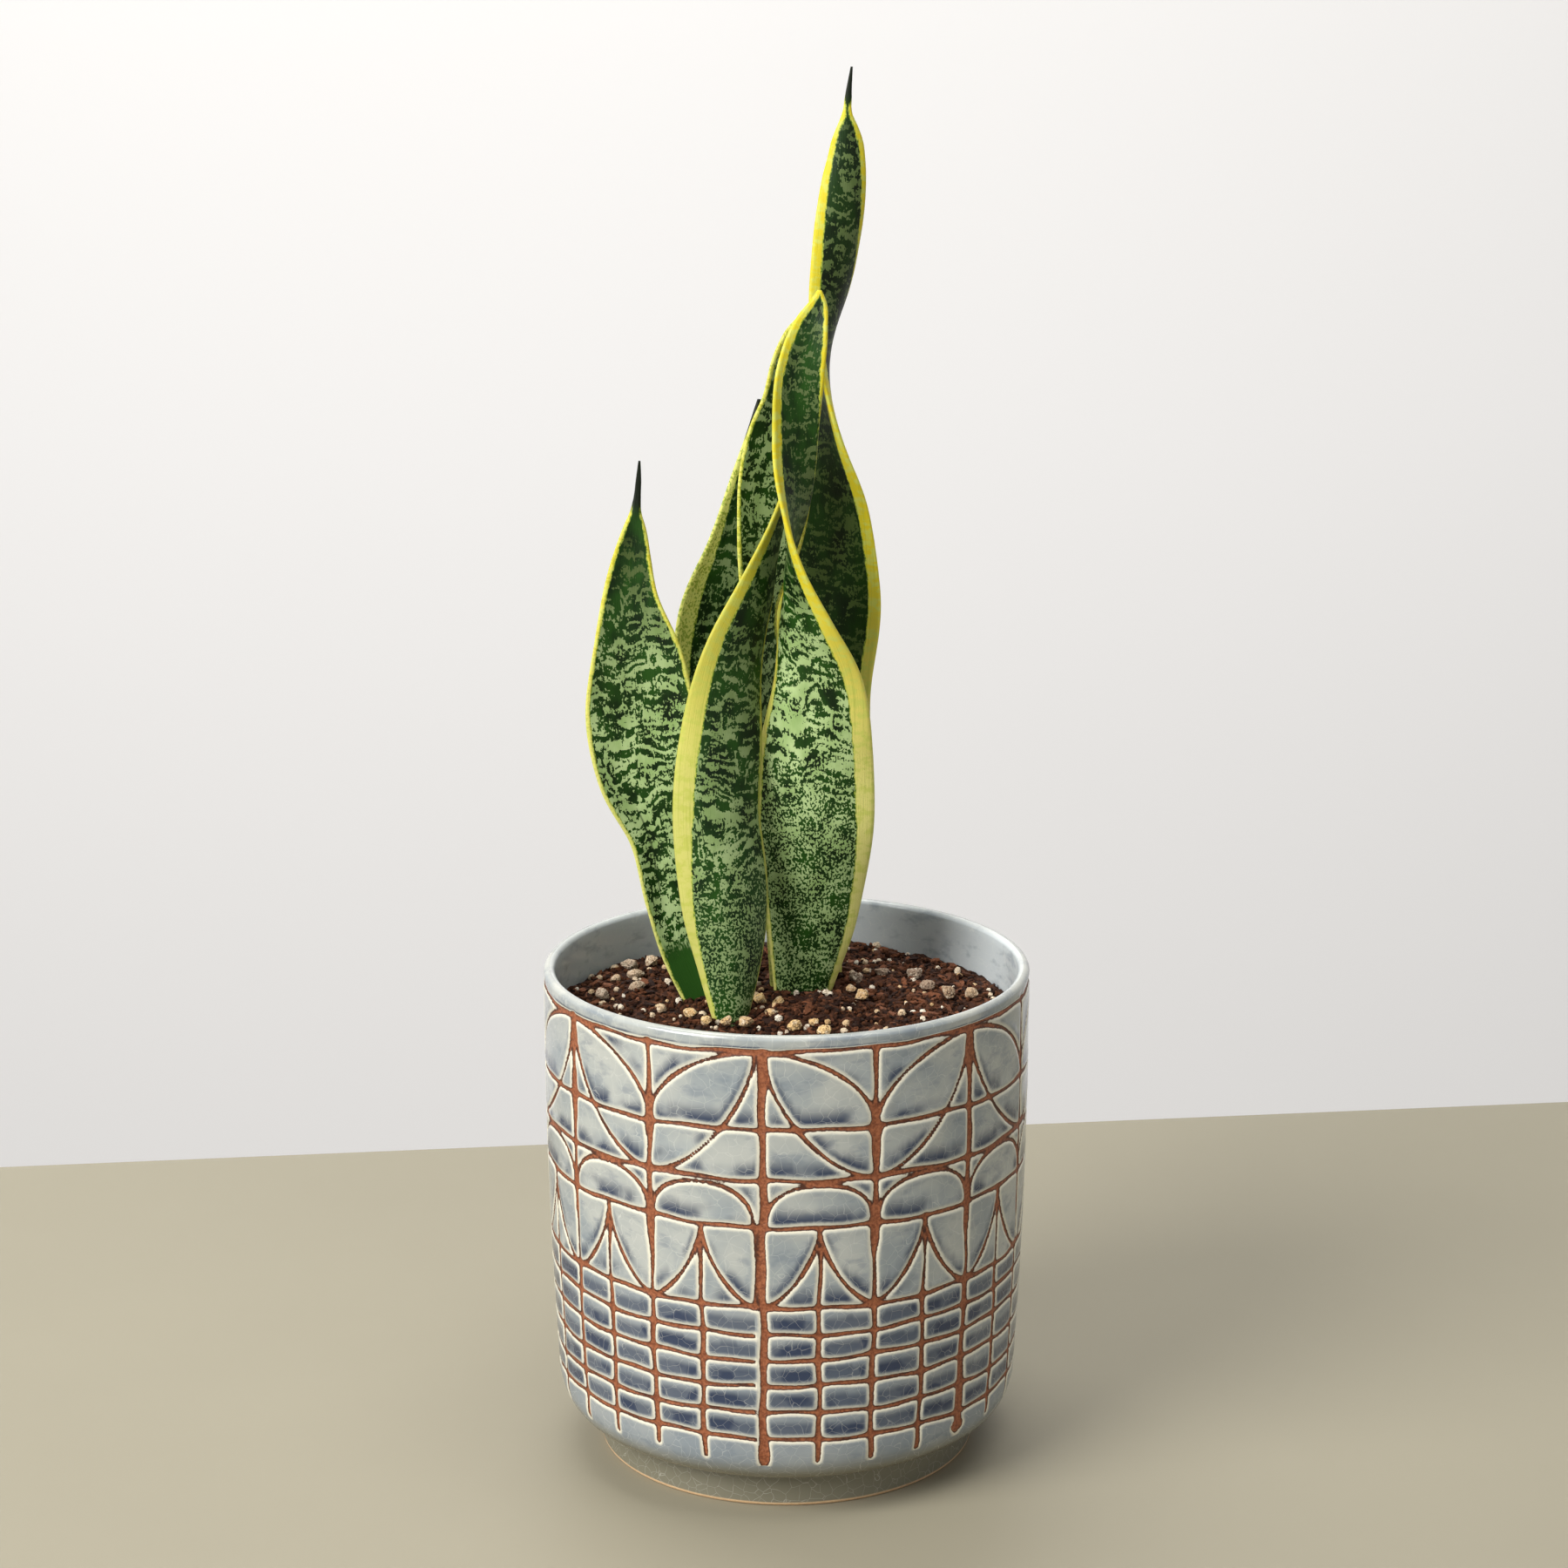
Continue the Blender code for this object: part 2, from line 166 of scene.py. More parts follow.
LEAF_THICKNESS = 4.2
TIP_THINNING = 0.45
MARGIN_THICKNESS = 1.4

# Widths of the yellow margins, mm: height above the soil, left, right
MARGINS = {
    "leaf_front_right": (
        (0, 2, 3),
        (40, 2.6, 5.4),
        (80, 2.4, 7.6),
        (110, 2.4, 7.2),
        (140, 1.6, 5.8),
        (160, 0.3, 5),
        (218, 0.3, 3.6),
        (240, 1.8, 3),
        (263, 1.5, 2),
    ),
    "leaf_front_left": (
        (0, 2, 2),
        (35, 4.6, 2),
        (75, 8, 2.2),
        (110, 7.6, 2.4),
        (140, 5, 2.4),
        (180, 3, 2),
        (210, 1.2, 1.2),
    ),
    "leaf_far_left": (
        (0, 0.8, 0.8),
        (60, 1.2, 1.3),
        (110, 1.5, 1.6),
        (160, 1.4, 1.4),
        (180, 1.3, 0.8),
        (184, 0.3, 0.3),
        (187, 0, 0),
        (202, 0, 0),
    ),
    "leaf_back_left": (
        (0, 3, 1.5),
        (100, 6, 2),
        (140, 7.5, 2),
        (165, 4.6, 1.6),
        (190, 2, 1.4),
        (212, 1, 1),
        (220, 0, 0),
    ),
    "leaf_centre_back": (
        (0, 1.5, 1.5),
        (120, 1.5, 1.6),
        (190, 0.9, 2),
        (215, 1.1, 2.5),
        (240, 1.7, 2.5),
        (253, 1.3, 1.3),
    ),
    "leaf_tall_back": (
        (0, 2, 3),
        (120, 3, 5),
        (180, 2.5, 4.8),
        (230, 1.2, 4.2),
        (262, 1.6, 4),
        (280, 2.4, 3.8),
        (300, 2.8, 3),
        (314, 2.4, 2),
        (320, 1.9, 1.9),
        (324, 1.2, 1.2),
        (328, 0, 0),
        (338, 0, 0),
    ),
}
# How bright the pale markings are: height above the soil (mm), brightness
PALENESS = {
    "leaf_front_right": (
        (0, 0.6),
        (50, 0.62),
        (105, 0.82),
        (140, 0.66),
        (165, 0.28),
        (210, 0.22),
        (263, 0.2),
    ),
    "leaf_front_left": ((0, 0.45), (60, 0.55), (120, 0.4), (210, 0.3)),
    "leaf_far_left": ((0, 0.75), (100, 0.8), (135, 0.55), (160, 0.15), (184, 0)),
    "leaf_back_left": ((0, 0.5), (130, 0.45), (170, 0.35), (207, 0.1)),
    "leaf_centre_back": ((0, 0.6), (160, 0.7), (253, 0.45)),
    # painted shade: leaf_tall_back's markings are kept dim below 180 mm, where it lies in the shadow of the
    # other leaves
    "leaf_tall_back": ((0, 0.05), (180, 0.05), (240, 0.2), (322, 0.25)),
}
# Seed of the markings, height below which they are fine specks (mm), height of the plain green
# base (mm), how green and mottled the margins are, how far the green is darkened as painted shade,
# how deep the yellow is
PATTERNS = {
    "leaf_front_right": (3.0, 75, 0, 0.0, 0.0, 0.0),
    "leaf_front_left": (11.0, 45, 0, 0.0, 0.0, 0.45),
    "leaf_far_left": (23.0, 10, 22, 0.3, 0.0, 0.0),
    "leaf_back_left": (37.0, 0, 0, 0.8, 0.2, 0.0),
    "leaf_centre_back": (41.0, 0, 0, 0.5, 0.0, 0.0),
    "leaf_tall_back": (59.0, 0, 0, 0.0, 0.5, 0.0),
}
# Folds that stand out of a blade: where across it (-1 to 1), from and to which height, how high (mm)
FOLDS = {
    "leaf_front_right": (-0.42, 98, 178, 1.3),
    "leaf_far_left": (-0.45, 20, 100, -0.7),
}
# Height above the soil where a dark tip starts, mm
DARK_TIPS = {"leaf_far_left": 182, "leaf_back_left": 203, "leaf_tall_back": 324}


# ---------------------------------------------------------------- shader helpers
class Shader:
    """A material's node tree, built from short calls. Numbers and sockets can be mixed."""

    def __init__(self, name):
        self.material = bpy.data.materials.new(name)
        self.material.use_nodes = True
        self.tree = self.material.node_tree
        self.bsdf = self.tree.nodes["Principled BSDF"]

    def link(self, value, socket):
        if isinstance(value, bpy.types.NodeSocket):
            self.tree.links.new(value, socket)
        else:
            socket.default_value = value

    def attribute(self, name):
        node = self.tree.nodes.new("ShaderNodeAttribute")
        node.attribute_name = name
        return node.outputs["Fac"]

    def position(self):
        return self.tree.nodes.new("ShaderNodeTexCoord").outputs["Object"]

    def height(self):
        """Height above the table, in mm."""
        node = self.tree.nodes.new("ShaderNodeSeparateXYZ")
        self.link(self.position(), node.inputs[0])
        return self.math("MULTIPLY", node.outputs["Z"], 1 / MM)

    def math(self, operation, a, b=0.0):
        node = self.tree.nodes.new("ShaderNodeMath")
        node.operation = operation
        self.link(a, node.inputs[0])
        self.link(b, node.inputs[1])
        return node.outputs[0]

    def weighted(self, *terms):
        """The sum of values, each times its weight."""
        total = 0.0
        for value, weight in terms:
            total = self.math("ADD", total, self.math("MULTIPLY", value, weight))
        return total

    def blend(self, factor, a, b):
        """From a to b, for plain numbers."""
        rest = self.math("SUBTRACT", 1.0, factor)
        return self.math("ADD", self.math("MULTIPLY", a, rest), self.math("MULTIPLY", b, factor))

    def step(self, value, low, high):
        """0 below low, 1 above high, and a smooth rise between (high may be under low)."""
        node = self.tree.nodes.new("ShaderNodeMapRange")
        node.interpolation_type = "SMOOTHSTEP"
        turned = low > high
        self.link(value, node.inputs["Value"])
        node.inputs["From Min"].default_value = min(low, high)
        node.inputs["From Max"].default_value = max(low, high)
        node.inputs["To Min"].default_value = 1.0 if turned else 0.0
        node.inputs["To Max"].default_value = 0.0 if turned else 1.0
        return node.outputs["Result"]

    def vector(self, x, y, z):
        node = self.tree.nodes.new("ShaderNodeCombineXYZ")
        for value, socket in zip((x, y, z), node.inputs):
            self.link(value, socket)
        return node.outputs[0]

    def scaled(self, vector, scale):
        node = self.tree.nodes.new("ShaderNodeVectorMath")
        node.operation = "MULTIPLY"
        self.link(vector, node.inputs[0])
        node.inputs[1].default_value = scale
        return node.outputs[0]

    def shifted(self, vector, by, amount):
        """The vector moved by another vector's distance from the middle of its range."""
        centred = self.tree.nodes.new("ShaderNodeVectorMath")
        centred.operation = "SUBTRACT"
        self.link(by, centred.inputs[0])
        centred.inputs[1].default_value = (0.5, 0.5, 0.5)
        node = self.tree.nodes.new("ShaderNodeVectorMath")
        node.operation = "MULTIPLY_ADD"
        self.tree.links.new(centred.outputs[0], node.inputs[0])
        node.inputs[1].default_value = (amount,) * 3
        self.link(vector, node.inputs[2])
        return node.outputs[0]

    def noise(self, vector, scale, detail=2.0, rough=0.5, colour=False):
        node = self.tree.nodes.new("ShaderNodeTexNoise")
        self.link(vector, node.inputs["Vector"])
        node.inputs["Scale"].default_value = scale
        node.inputs["Detail"].default_value = detail
        node.inputs["Roughness"].default_value = rough
        return node.outputs["Color"] if colour else node.outputs["Fac"]

    def cracks(self, vector, scale):
        """Distance to the nearest edge of a net of cells."""
        node = self.tree.nodes.new("ShaderNodeTexVoronoi")
        node.feature = "DISTANCE_TO_EDGE"
        self.link(vector, node.inputs["Vector"])
        node.inputs["Scale"].default_value = scale
        return node.outputs["Distance"]

    def mix(self, factor, a, b):
        node = self.tree.nodes.new("ShaderNodeMix")
        node.data_type = "RGBA"
        self.link(factor, node.inputs["Factor"])
        self.link(a, node.inputs["A"])
        self.link(b, node.inputs["B"])
        return node.outputs["Result"]

    def bump(self, height, distance, strength=1.0):
        node = self.tree.nodes.new("ShaderNodeBump")
        node.inputs["Distance"].default_value = distance
        node.inputs["Strength"].default_value = strength
        self.link(height, node.inputs["Height"])
        return node.outputs["Normal"]

    def finish(self, colour, roughness, normal=None, specular=0.5):
        self.link(colour, self.bsdf.inputs["Base Color"])
        self.link(roughness, self.bsdf.inputs["Roughness"])
        self.bsdf.inputs["Specular IOR Level"].default_value = specular
        if normal is not None:
            self.link(normal, self.bsdf.inputs["Normal"])
        return self.material


def rgb(red, green, blue):
    """A linear colour from display values of 0 to 255."""
    return tuple(pow(value / 255, 2.2) for value in (red, green, blue)) + (1.0,)


# ---------------------------------------------------------------- mesh helpers
def grid_mesh(name, points, cap_ends=False):
    """A mesh of quads over rows of points (rows, columns, 3) in mm, closed round each row.
    Its first and last rows are capped, or else joined to each other."""
    rows, columns, _ = points.shape
    index = np.arange(rows * columns).reshape(rows, columns)
    if not cap_ends:
        index = np.concatenate([index, index[:1]])
    after = np.roll(index, -1, axis=1)
    quads = np.stack([index[:-1], after[:-1], after[1:], index[1:]], axis=-1)
    quads = quads.reshape(-1, 4)
    co = points.reshape(-1, 3) * MM
    faces = quads.tolist()
    if cap_ends:
        ends = [points[0].mean(axis=0), points[-1].mean(axis=0)]
        co = np.concatenate([co, np.array(ends) * MM])
        low, high = rows * columns, rows * columns + 1
        for i in range(columns):
            j = (i + 1) % columns
            faces.append([int(index[0, j]), int(index[0, i]), low])
            faces.append([int(index[-1, i]), int(index[-1, j]), high])
    mesh = bpy.data.meshes.new(name)
    mesh.from_pydata(co.tolist(), [], faces)
    mesh.shade_smooth()
    mesh.update()
    return mesh


def fix_normals(mesh):
    shape = bmesh.new()
    shape.from_mesh(mesh)
    bmesh.ops.recalc_face_normals(shape, faces=shape.faces)
    shape.to_mesh(mesh)
    shape.free()


def set_attribute(mesh, name, values):
    """One number a vertex; vertices past the end of the values take the last one."""
    layer = mesh.attributes.new(name, "FLOAT", "POINT")
    flat = np.asarray(values, dtype=np.float32).ravel()
    short = len(mesh.vertices) - len(flat)
    if short > 0:
        flat = np.concatenate([flat, np.full(short, flat[-1], np.float32)])
    layer.data.foreach_set("value", flat)


def add_piece(name, mesh, material, slot, *nodes):
    piece = bpy.data.objects.new(name, mesh)
    bpy.context.scene.collection.objects.link(piece)
    mesh.materials.append(material)
    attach(piece, "root")
    if nodes:
        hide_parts(*nodes)
    return piece


def smoothstep(low, high, value):
    t = np.clip((value - low) / (high - low), 0, 1)
    return t * t * (3 - 2 * t)


# ---------------------------------------------------------------- pot
CELL = 25.6  # degrees between two upright lines
CELLS = 14
SEAM = -5.5  # degrees from the front, where the drawing starts and ends
LEVELS = (178.5, 149.5, 131, 114, 84, 74, 64, 53.5, 43, 33)
LINE = 0.63  # half the width of a drawn line, mm
LINE_SOFTNESS = 0.55  # how round the corners are where lines meet, mm
ARC_STEPS = 60
FAR = 12  # a distance from any line past which the glaze is plain, mm
PATTERN_LOW = (20.5, 22)  # the pattern fades in over these heights
PATTERN_HIGH = (180.6, 180)
EDGE_ROUND = 0.6  # rounding of the recess's and the drain hole's edges
FOOT_FILLET = 1.2


def outer_radius(z):
    widest = POT_HEIGHT - WIDEST_BELOW_RIM
    share = np.maximum(0.0, (widest - z) / (widest - SHOULDER_TOP))
    return POT_RADIUS - SIDE_TAPER * share * share


def hand_drift(cell):
    """How far, in degrees, the hand that drew the lines strayed from even spacing."""
    return 0.8 * math.exp(-(((cell - 2.4) / 1.6) ** 2))


def upright(cell):
    """The angle of an upright line, in degrees; halves of a cell are the lines between."""
    return SEAM + CELL * cell + hand_drift(cell)


def wobble(along, seed, size):
    """A slow unevenness along a line, in mm."""
    return size * (np.sin(along * 0.11 + seed * 1.7) + 0.6 * np.sin(along * 0.27 + seed * 4.1))


def arc_points(centre, ends, power, start, end):
    """Points (degrees, z) on a quarter of a superellipse about a centre."""
    points = []
    for i in range(ARC_STEPS + 1):
        angle = math.radians(start + (end - start) * i / ARC_STEPS)
        c, s = math.cos(angle), math.sin(angle)
        across = math.copysign(abs(c) ** (2 / power), c)
        up = math.copysign(abs(s) ** (2 / power), s)
        points.append((centre[0] + ends[0] * across, centre[1] + ends[1] * up))
    return points


def pattern_arcs():
    """Every curved line of the drawing, as lists of (degrees, z)."""
    arcs = []
    for cell in range(CELLS):
        left, right = upright(cell), upright(cell + 1)
        middle, width = (left + right) / 2, right - left
        peak, valley, side = (left, right, 1) if cell % 2 == 0 else (right, left, -1)
        arcs.append(arc_points((peak, 150), (side * width, 28), 1.8, 0, 90))
        arcs.append(arc_points((valley, 178), (-side * width, 47), 1.6, 0, -90))
        arcs.append(arc_points((middle, 114.5), (12.3 * width / CELL, 15), 2.3, 0, 180))
        arcs.append(arc_points((left, 113), (middle - left, 29), 1.5, 0, -90))
        arcs.append(arc_points((right, 113), (middle - right, 29), 1.5, 0, -90))
    return arcs


def upright_lines():
    """(cell, top, bottom, half width) of each upright line."""
    lines = []
    for cell in range(CELLS + 1):
        top, bottom = 178.5, 25 - 1.5 * math.sin(cell * 2.3)
        wide = 1.1 if cell in (0, 2) else 0.8
        if cell == CELLS:
            top, bottom = 113, 85
            wide = 0.5
        lines.append((cell, top, bottom, wide))
    for cell in range(CELLS):
        lines.append((cell + 0.5, 106, 24.5 - math.sin(cell * 1.9), 0.74))
    return lines


# Drops and pools of slip where the drawing hand paused: degrees, z, half width, half height (mm)
BLOBS = (
    (upright(0), 27, 1.9, 5),
    (upright(0), 170, 1.4, 7),
    (upright(1), 149, 2.4, 2.6),
    (upright(1), 143, 1.4, 7),
    (upright(1), 111, 1.5, 6),
    (upright(2), 36, 1.9, 11),
    (upright(2), 26.5, 3.0, 2.2),
    (upright(13), 148, 1.6, 5),
    (upright(13), 111, 1.5, 6),
    (upright(12), 150, 1.9, 9),
    (upright(12), 172, 2.0, 5),
    (upright(2), 172, 1.7, 6),
    (upright(4), 150, 1.8, 8),
    (upright(7), 30, 2.2, 5),
    (upright(9), 140, 1.7, 8),
)


def line_distance(degrees, z):
    """Distance in mm to the nearest drawn line's edge over the wall: under 0 inside a line."""
    per_degree = math.pi / 180 * outer_radius(z)
    total = np.zeros_like(z)

    def join(distance):
        nonlocal total
        total = total + np.exp(-np.clip(distance, -6, 30) / LINE_SOFTNESS)

    around = (degrees - SEAM) % 360 + SEAM
    for number, level in enumerate(LEVELS):
        at = level + wobble(around * 1.5, number, 0.35) + 0.6 * np.sin(np.radians(around) * 2 + number)
        half = LINE + 0.1 * np.sin(around * 0.35 + number * 2.1)
        distance = np.abs(z - at) - half
        if number >= 4:
            past = (around - (upright(CELLS) - 0.3)) * per_degree
            distance = np.hypot(np.maximum(distance, 0), np.maximum(past, 0)) + np.minimum(distance, 0)
            distance = np.where((past > 0) & (distance < past), past, distance)
        join(distance)
    for cell, top, bottom, half in upright_lines():
        at = upright(cell) * per_degree + wobble(z, cell * 3.3, 0.3)
        thin = 1 - 0.35 * smoothstep(110, 96, z) * smoothstep(80, 90, z) * (cell != 0)
        wide = half * thin + 0.14 * np.sin(z * 0.21 + cell * 1.9)
        sideways = np.minimum(
            np.abs(around * per_degree - at), np.abs((around - 360) * per_degree - at)
        )
        beyond = np.maximum(np.maximum(z - top, bottom - z), 0)
        join(np.hypot(sideways, beyond) - wide)
    for angle, height, wide, tall in BLOBS:
        x = ((degrees - angle + 180) % 360 - 180) * per_degree
        join((np.hypot(x / wide, (z - height) / tall) - 1) * wide)
    join(arc_distance(degrees, z))
    return -LINE_SOFTNESS * np.log(np.maximum(total, 1e-12))


def arc_distance(degrees, z):
    """Distance in mm to the nearest curved line's edge."""
    points = []
    for number, arc in enumerate(pattern_arcs()):
        for step, (angle, height) in enumerate(arc):
            half = LINE + 0.12 * math.sin(step * 0.22 + number)
            for turn in (-360, 0, 360):
                if -200 < angle + turn < 200:
                    points.append((angle + turn, height, half))
    tree = kdtree.KDTree(len(points))
    scale = float(outer_radius(np.array(110.0))) * math.pi / 180
    for i, (angle, height, _) in enumerate(points):
        tree.insert((angle * scale, height, 0), i)
    tree.balance()
    found = np.empty(z.size)
    flat_angle = (((degrees + 180) % 360) - 180).ravel()
    for i, (angle, height) in enumerate(zip(flat_angle, z.ravel())):
        _, index, distance = tree.find((angle * scale, height, 0))
        found[i] = distance - points[index][2]
    return found.reshape(z.shape)


def ellipse(centre_r, centre_z, size_r, size_z, start, end, count):
    """Points (radius, z) along part of an ellipse, between two angles in degrees."""
    points = []
    for i in range(count + 1):
        angle = math.radians(start + (end - start) * i / count)
        points.append((centre_r + size_r * math.cos(angle), centre_z + size_z * math.sin(angle)))
    return points


def pot_profile():
    """The pot's section (radius, z) down the outside and up the inside, and where its wall rows are."""
    lip = WALL / 2
    wall_top = POT_HEIGHT - 2 * lip + 0.6
    shoulder_r = float(outer_radius(np.array(SHOULDER_TOP))) - SHOULDER_INSET
    rim = ellipse(POT_RADIUS - lip, POT_HEIGHT - lip, lip, lip, 90, 10, 10)
    rows = int((wall_top - 1 - SHOULDER_TOP) / WALL_ROW)
    side = [(float(outer_radius(np.array(z))), z) for z in np.linspace(wall_top - 1, SHOULDER_TOP, rows)]
    drop = SHOULDER_TOP - FOOT_HEIGHT
    shoulder = ellipse(shoulder_r, SHOULDER_TOP, SHOULDER_INSET, drop, 0, -90, 22)[1:]
    recess_r = FOOT_RADIUS - FOOT_RING_WIDTH
    fillet = FOOT_FILLET
    foot = [(FOOT_RADIUS + fillet, FOOT_HEIGHT)]
    foot += ellipse(FOOT_RADIUS + fillet, FOOT_HEIGHT - fillet, fillet, fillet, 100, 180, 4)
    foot += [(FOOT_RADIUS, z) for z in (10, 7, 4, 2.4)]
    foot += ellipse(FOOT_RADIUS - FOOT_BEVEL, FOOT_BEVEL, FOOT_BEVEL, FOOT_BEVEL, 0, -90, 5)
    foot += [(recess_r + 6, 0), (recess_r + EDGE_ROUND, 0), (recess_r, 0.4), (recess_r - 1, FOOT_RECESS)]
    foot += [(40, FOOT_RECESS), (12, FOOT_RECESS), (DRAIN_RADIUS + EDGE_ROUND, FOOT_RECESS)]
    foot += [(DRAIN_RADIUS, FOOT_RECESS + EDGE_ROUND), (DRAIN_RADIUS, FLOOR_TOP - EDGE_ROUND)]
    foot += [(DRAIN_RADIUS + EDGE_ROUND, FLOOR_TOP)]
    corner_top = FLOOR_TOP + INNER_CORNER
    inner_r = float(outer_radius(np.array(corner_top))) - WALL
    inside = ellipse(inner_r - INNER_CORNER, corner_top, INNER_CORNER, INNER_CORNER, -90, 0, 8)
    buried = np.linspace(corner_top + 12, SOIL_TOP - 8, 8)
    heights = np.concatenate([buried, np.arange(SOIL_TOP - 5, POT_HEIGHT - 2 * lip, 1.4)])
    inside += [(float(outer_radius(np.array(z))) - WALL, z) for z in heights]
    inner_rim = ellipse(POT_RADIUS - lip, POT_HEIGHT - lip, lip, lip, 170, 100, 9)
    profile = np.array(rim + side + shoulder + foot + inside + inner_rim)
    return profile, len(rim), len(rim) + len(side) + len(shoulder)


def make_pot():
    profile, first, last = pot_profile()
    angles = np.arange(POT_COLUMNS) / POT_COLUMNS * 360 - 180
    radius = np.repeat(profile[:, :1], POT_COLUMNS, axis=1)
    height = np.repeat(profile[:, 1:], POT_COLUMNS, axis=1)
    degrees = np.repeat(angles[None], len(profile), axis=0)

    line = np.full(radius.shape, float(FAR))
    line[first:last] = line_distance(degrees[first:last], height[first:last])
    shown = smoothstep(*PATTERN_LOW, height[first:last]) * smoothstep(*PATTERN_HIGH, height[first:last])
    line[first:last] = line[first:last] * shown + FAR * (1 - shown)
    below = height_above_line(line, height, first, last)

    soft = np.clip(line, -2, FAR)
    sink = GROOVE_DEPTH * (1 - smoothstep(-0.25, 0.55, soft)) + 0.12 * smoothstep(1.5, 4.5, soft)
    sink = np.where((height > 20) & (radius > 75), sink, 0)
    sink[:first] = 0
    sink[last:] = 0
    radius = radius - sink
    turn = np.radians(degrees)
    points = np.stack([radius * np.sin(turn), -radius * np.cos(turn), height], axis=-1)
    mesh = grid_mesh("pot_glazed", points)
    fix_normals(mesh)
    outside = np.zeros(radius.shape)
    outside[:last] = 1
    for name, values in (("line", soft), ("below", below), ("outside", outside)):
        set_attribute(mesh, name, values)
    return add_piece("pot_glazed", mesh, pot_material(), "glazed_stoneware", "pot")


def height_above_line(line, height, first, last):
    """How far each point of the wall stands above the line under it, in mm."""
    below = np.full(line.shape, 20.0)
    floor = np.full(line.shape[1], 14.0)
    for row in range(last - 1, first - 1, -1):
        floor = np.where(line[row] < 0.3, height[row], floor)
        below[row] = height[row] - floor
    return below


def pot_material():
    s = Shader("glazed_stoneware")
    place = s.position()
    line = s.attribute("line")
    below = s.attribute("below")
    height = s.height()

    patches = s.noise(place, 45.0, 3.0, 0.55)
    fine = s.noise(place, 900.0, 2.0, 0.6)
    edge = s.math("ADD", line, s.math("MULTIPLY", s.math("SUBTRACT", s.noise(place, 700.0, 3.0), 0.5), 0.55))

    # glaze: pale where it is thin, blue where it lies thick low in each cell
    outside = s.attribute("outside")
    body = s.mix(s.step(patches, 0.3, 0.7), rgb(142, 150, 153), rgb(174, 177, 172))
    # painted light: the inside of the pot takes a paler copy of the glaze, standing in for light on the inner
    # wall
    body = s.mix(s.step(outside, 0.5, 0.4), body, rgb(190, 197, 199))
    in_grid = s.step(height, 86.0, 82.0)
    low = s.blend(in_grid, s.step(below, 9.0, 2.0), s.step(below, 8.0, 4.5))
    uneven = s.step(s.noise(place, 60.0, 2.0), 0.36, 0.58)
    uneven = s.math("MAXIMUM", uneven, s.math("MULTIPLY", in_grid, 0.75))
    deep = s.math("MULTIPLY", s.step(edge, 0.5, 2.3), s.math("MULTIPLY", low, uneven))
    deep = s.math("MULTIPLY", deep, s.step(height, 20.0, 26.0))
    brushed = s.noise(s.scaled(place, (1.0, 1.0, 2.2)), 85.0, 3.0, 0.6)
    body = s.mix(s.math("MULTIPLY", in_grid, 0.45), body, rgb(112, 124, 138))
    veil = s.math("MULTIPLY", s.step(brushed, 0.5, 0.7), 0.4)
    veil = s.math("MULTIPLY", veil, s.math("MULTIPLY", s.step(edge, 0.8, 3.0), s.step(height, 20.0, 24.0)))
    glaze = s.mix(veil, body, rgb(98, 110, 126))
    glaze = s.mix(deep, glaze, rgb(48, 59, 82))
    upper_edge = s.weighted((s.step(below, 0.6, 4.0), 0.3), (1.0, 0.68))
    halo = s.math("MULTIPLY", s.step(edge, 1.75, 0.1), upper_edge)
    glaze = s.mix(halo, glaze, rgb(236, 230, 208))
    foot = s.step(height, 25.0, 16.5)
    glaze = s.mix(foot, glaze, rgb(122, 119, 103))
    # the top of the lip is tinted cream: partly the glaze breaking thin over the edge, partly a painted
    # highlight
    lip = s.step(height, 182.8, 183.8)
    glaze = s.mix(s.math("MULTIPLY", lip, 0.18), glaze, rgb(214, 208, 186))

    # crackle
    bent = s.shifted(place, s.noise(place, 120.0, 2.0, colour=True), 0.004)
    crack = s.cracks(bent, 230.0)
    crackle = s.math("MULTIPLY", s.step(crack, 0.022, 0.0), 0.26)
    glaze = s.mix(crackle, glaze, rgb(226, 226, 216))

    # bare clay in the drawn lines
    clay = s.mix(s.step(fine, 0.3, 0.7), rgb(116, 62, 37), rgb(158, 96, 63))
    rim_of_line = s.math("MULTIPLY", s.step(edge, -0.3, 0.0), s.step(edge, 0.32, 0.14))
    clay = s.mix(s.math("MULTIPLY", rim_of_line, 0.9), clay, rgb(58, 28, 16))
    bare = s.step(edge, 0.3, 0.1)
    colour = s.mix(bare, glaze, clay)

    # unglazed foot edge
    under = s.step(s.math("ADD", height, s.math("MULTIPLY", patches, 0.5)), 1.9, 1.3)
    stoneware = s.mix(fine, rgb(196, 156, 116), rgb(222, 192, 150))
    colour = s.mix(under, colour, stoneware)

    matt = s.math("MAXIMUM", bare, under)
    roughness = s.math("ADD", s.math("MULTIPLY", matt, 0.42), 0.13)
    relief = s.math("SUBTRACT", s.math("MULTIPLY", fine, 0.25), s.math("MULTIPLY", crackle, 0.5))
    relief = s.math("MULTIPLY", relief, s.math("ADD", s.math("MULTIPLY", matt, 1.2), 0.25))
    return s.finish(colour, roughness, s.bump(relief, 0.0003))


# ---------------------------------------------------------------- leaves
def eased(stations, column, heights):
    """One column of a table at many heights, on a smooth curve through its rows."""
    table = np.array(stations, float)
    at, values = table[:, 0], table[:, column]
    gaps = np.diff(at)
    rises = np.diff(values) / gaps
    slopes = np.empty_like(values)
    slopes[0], slopes[-1] = rises[0], rises[-1]
    slopes[1:-1] = (rises[1:] * gaps[:-1] + rises[:-1] * gaps[1:]) / (gaps[:-1] + gaps[1:])
    i = np.clip(np.searchsorted(at, heights, side="right") - 1, 0, len(at) - 2)
    s = (heights - at[i]) / gaps[i]
    curve = values[i] * (2 * s**3 - 3 * s**2 + 1) + values[i + 1] * (3 * s**2 - 2 * s**3)
    return curve + gaps[i] * (slopes[i] * (s**3 - 2 * s**2 + s) + slopes[i + 1] * (s**3 - s**2))


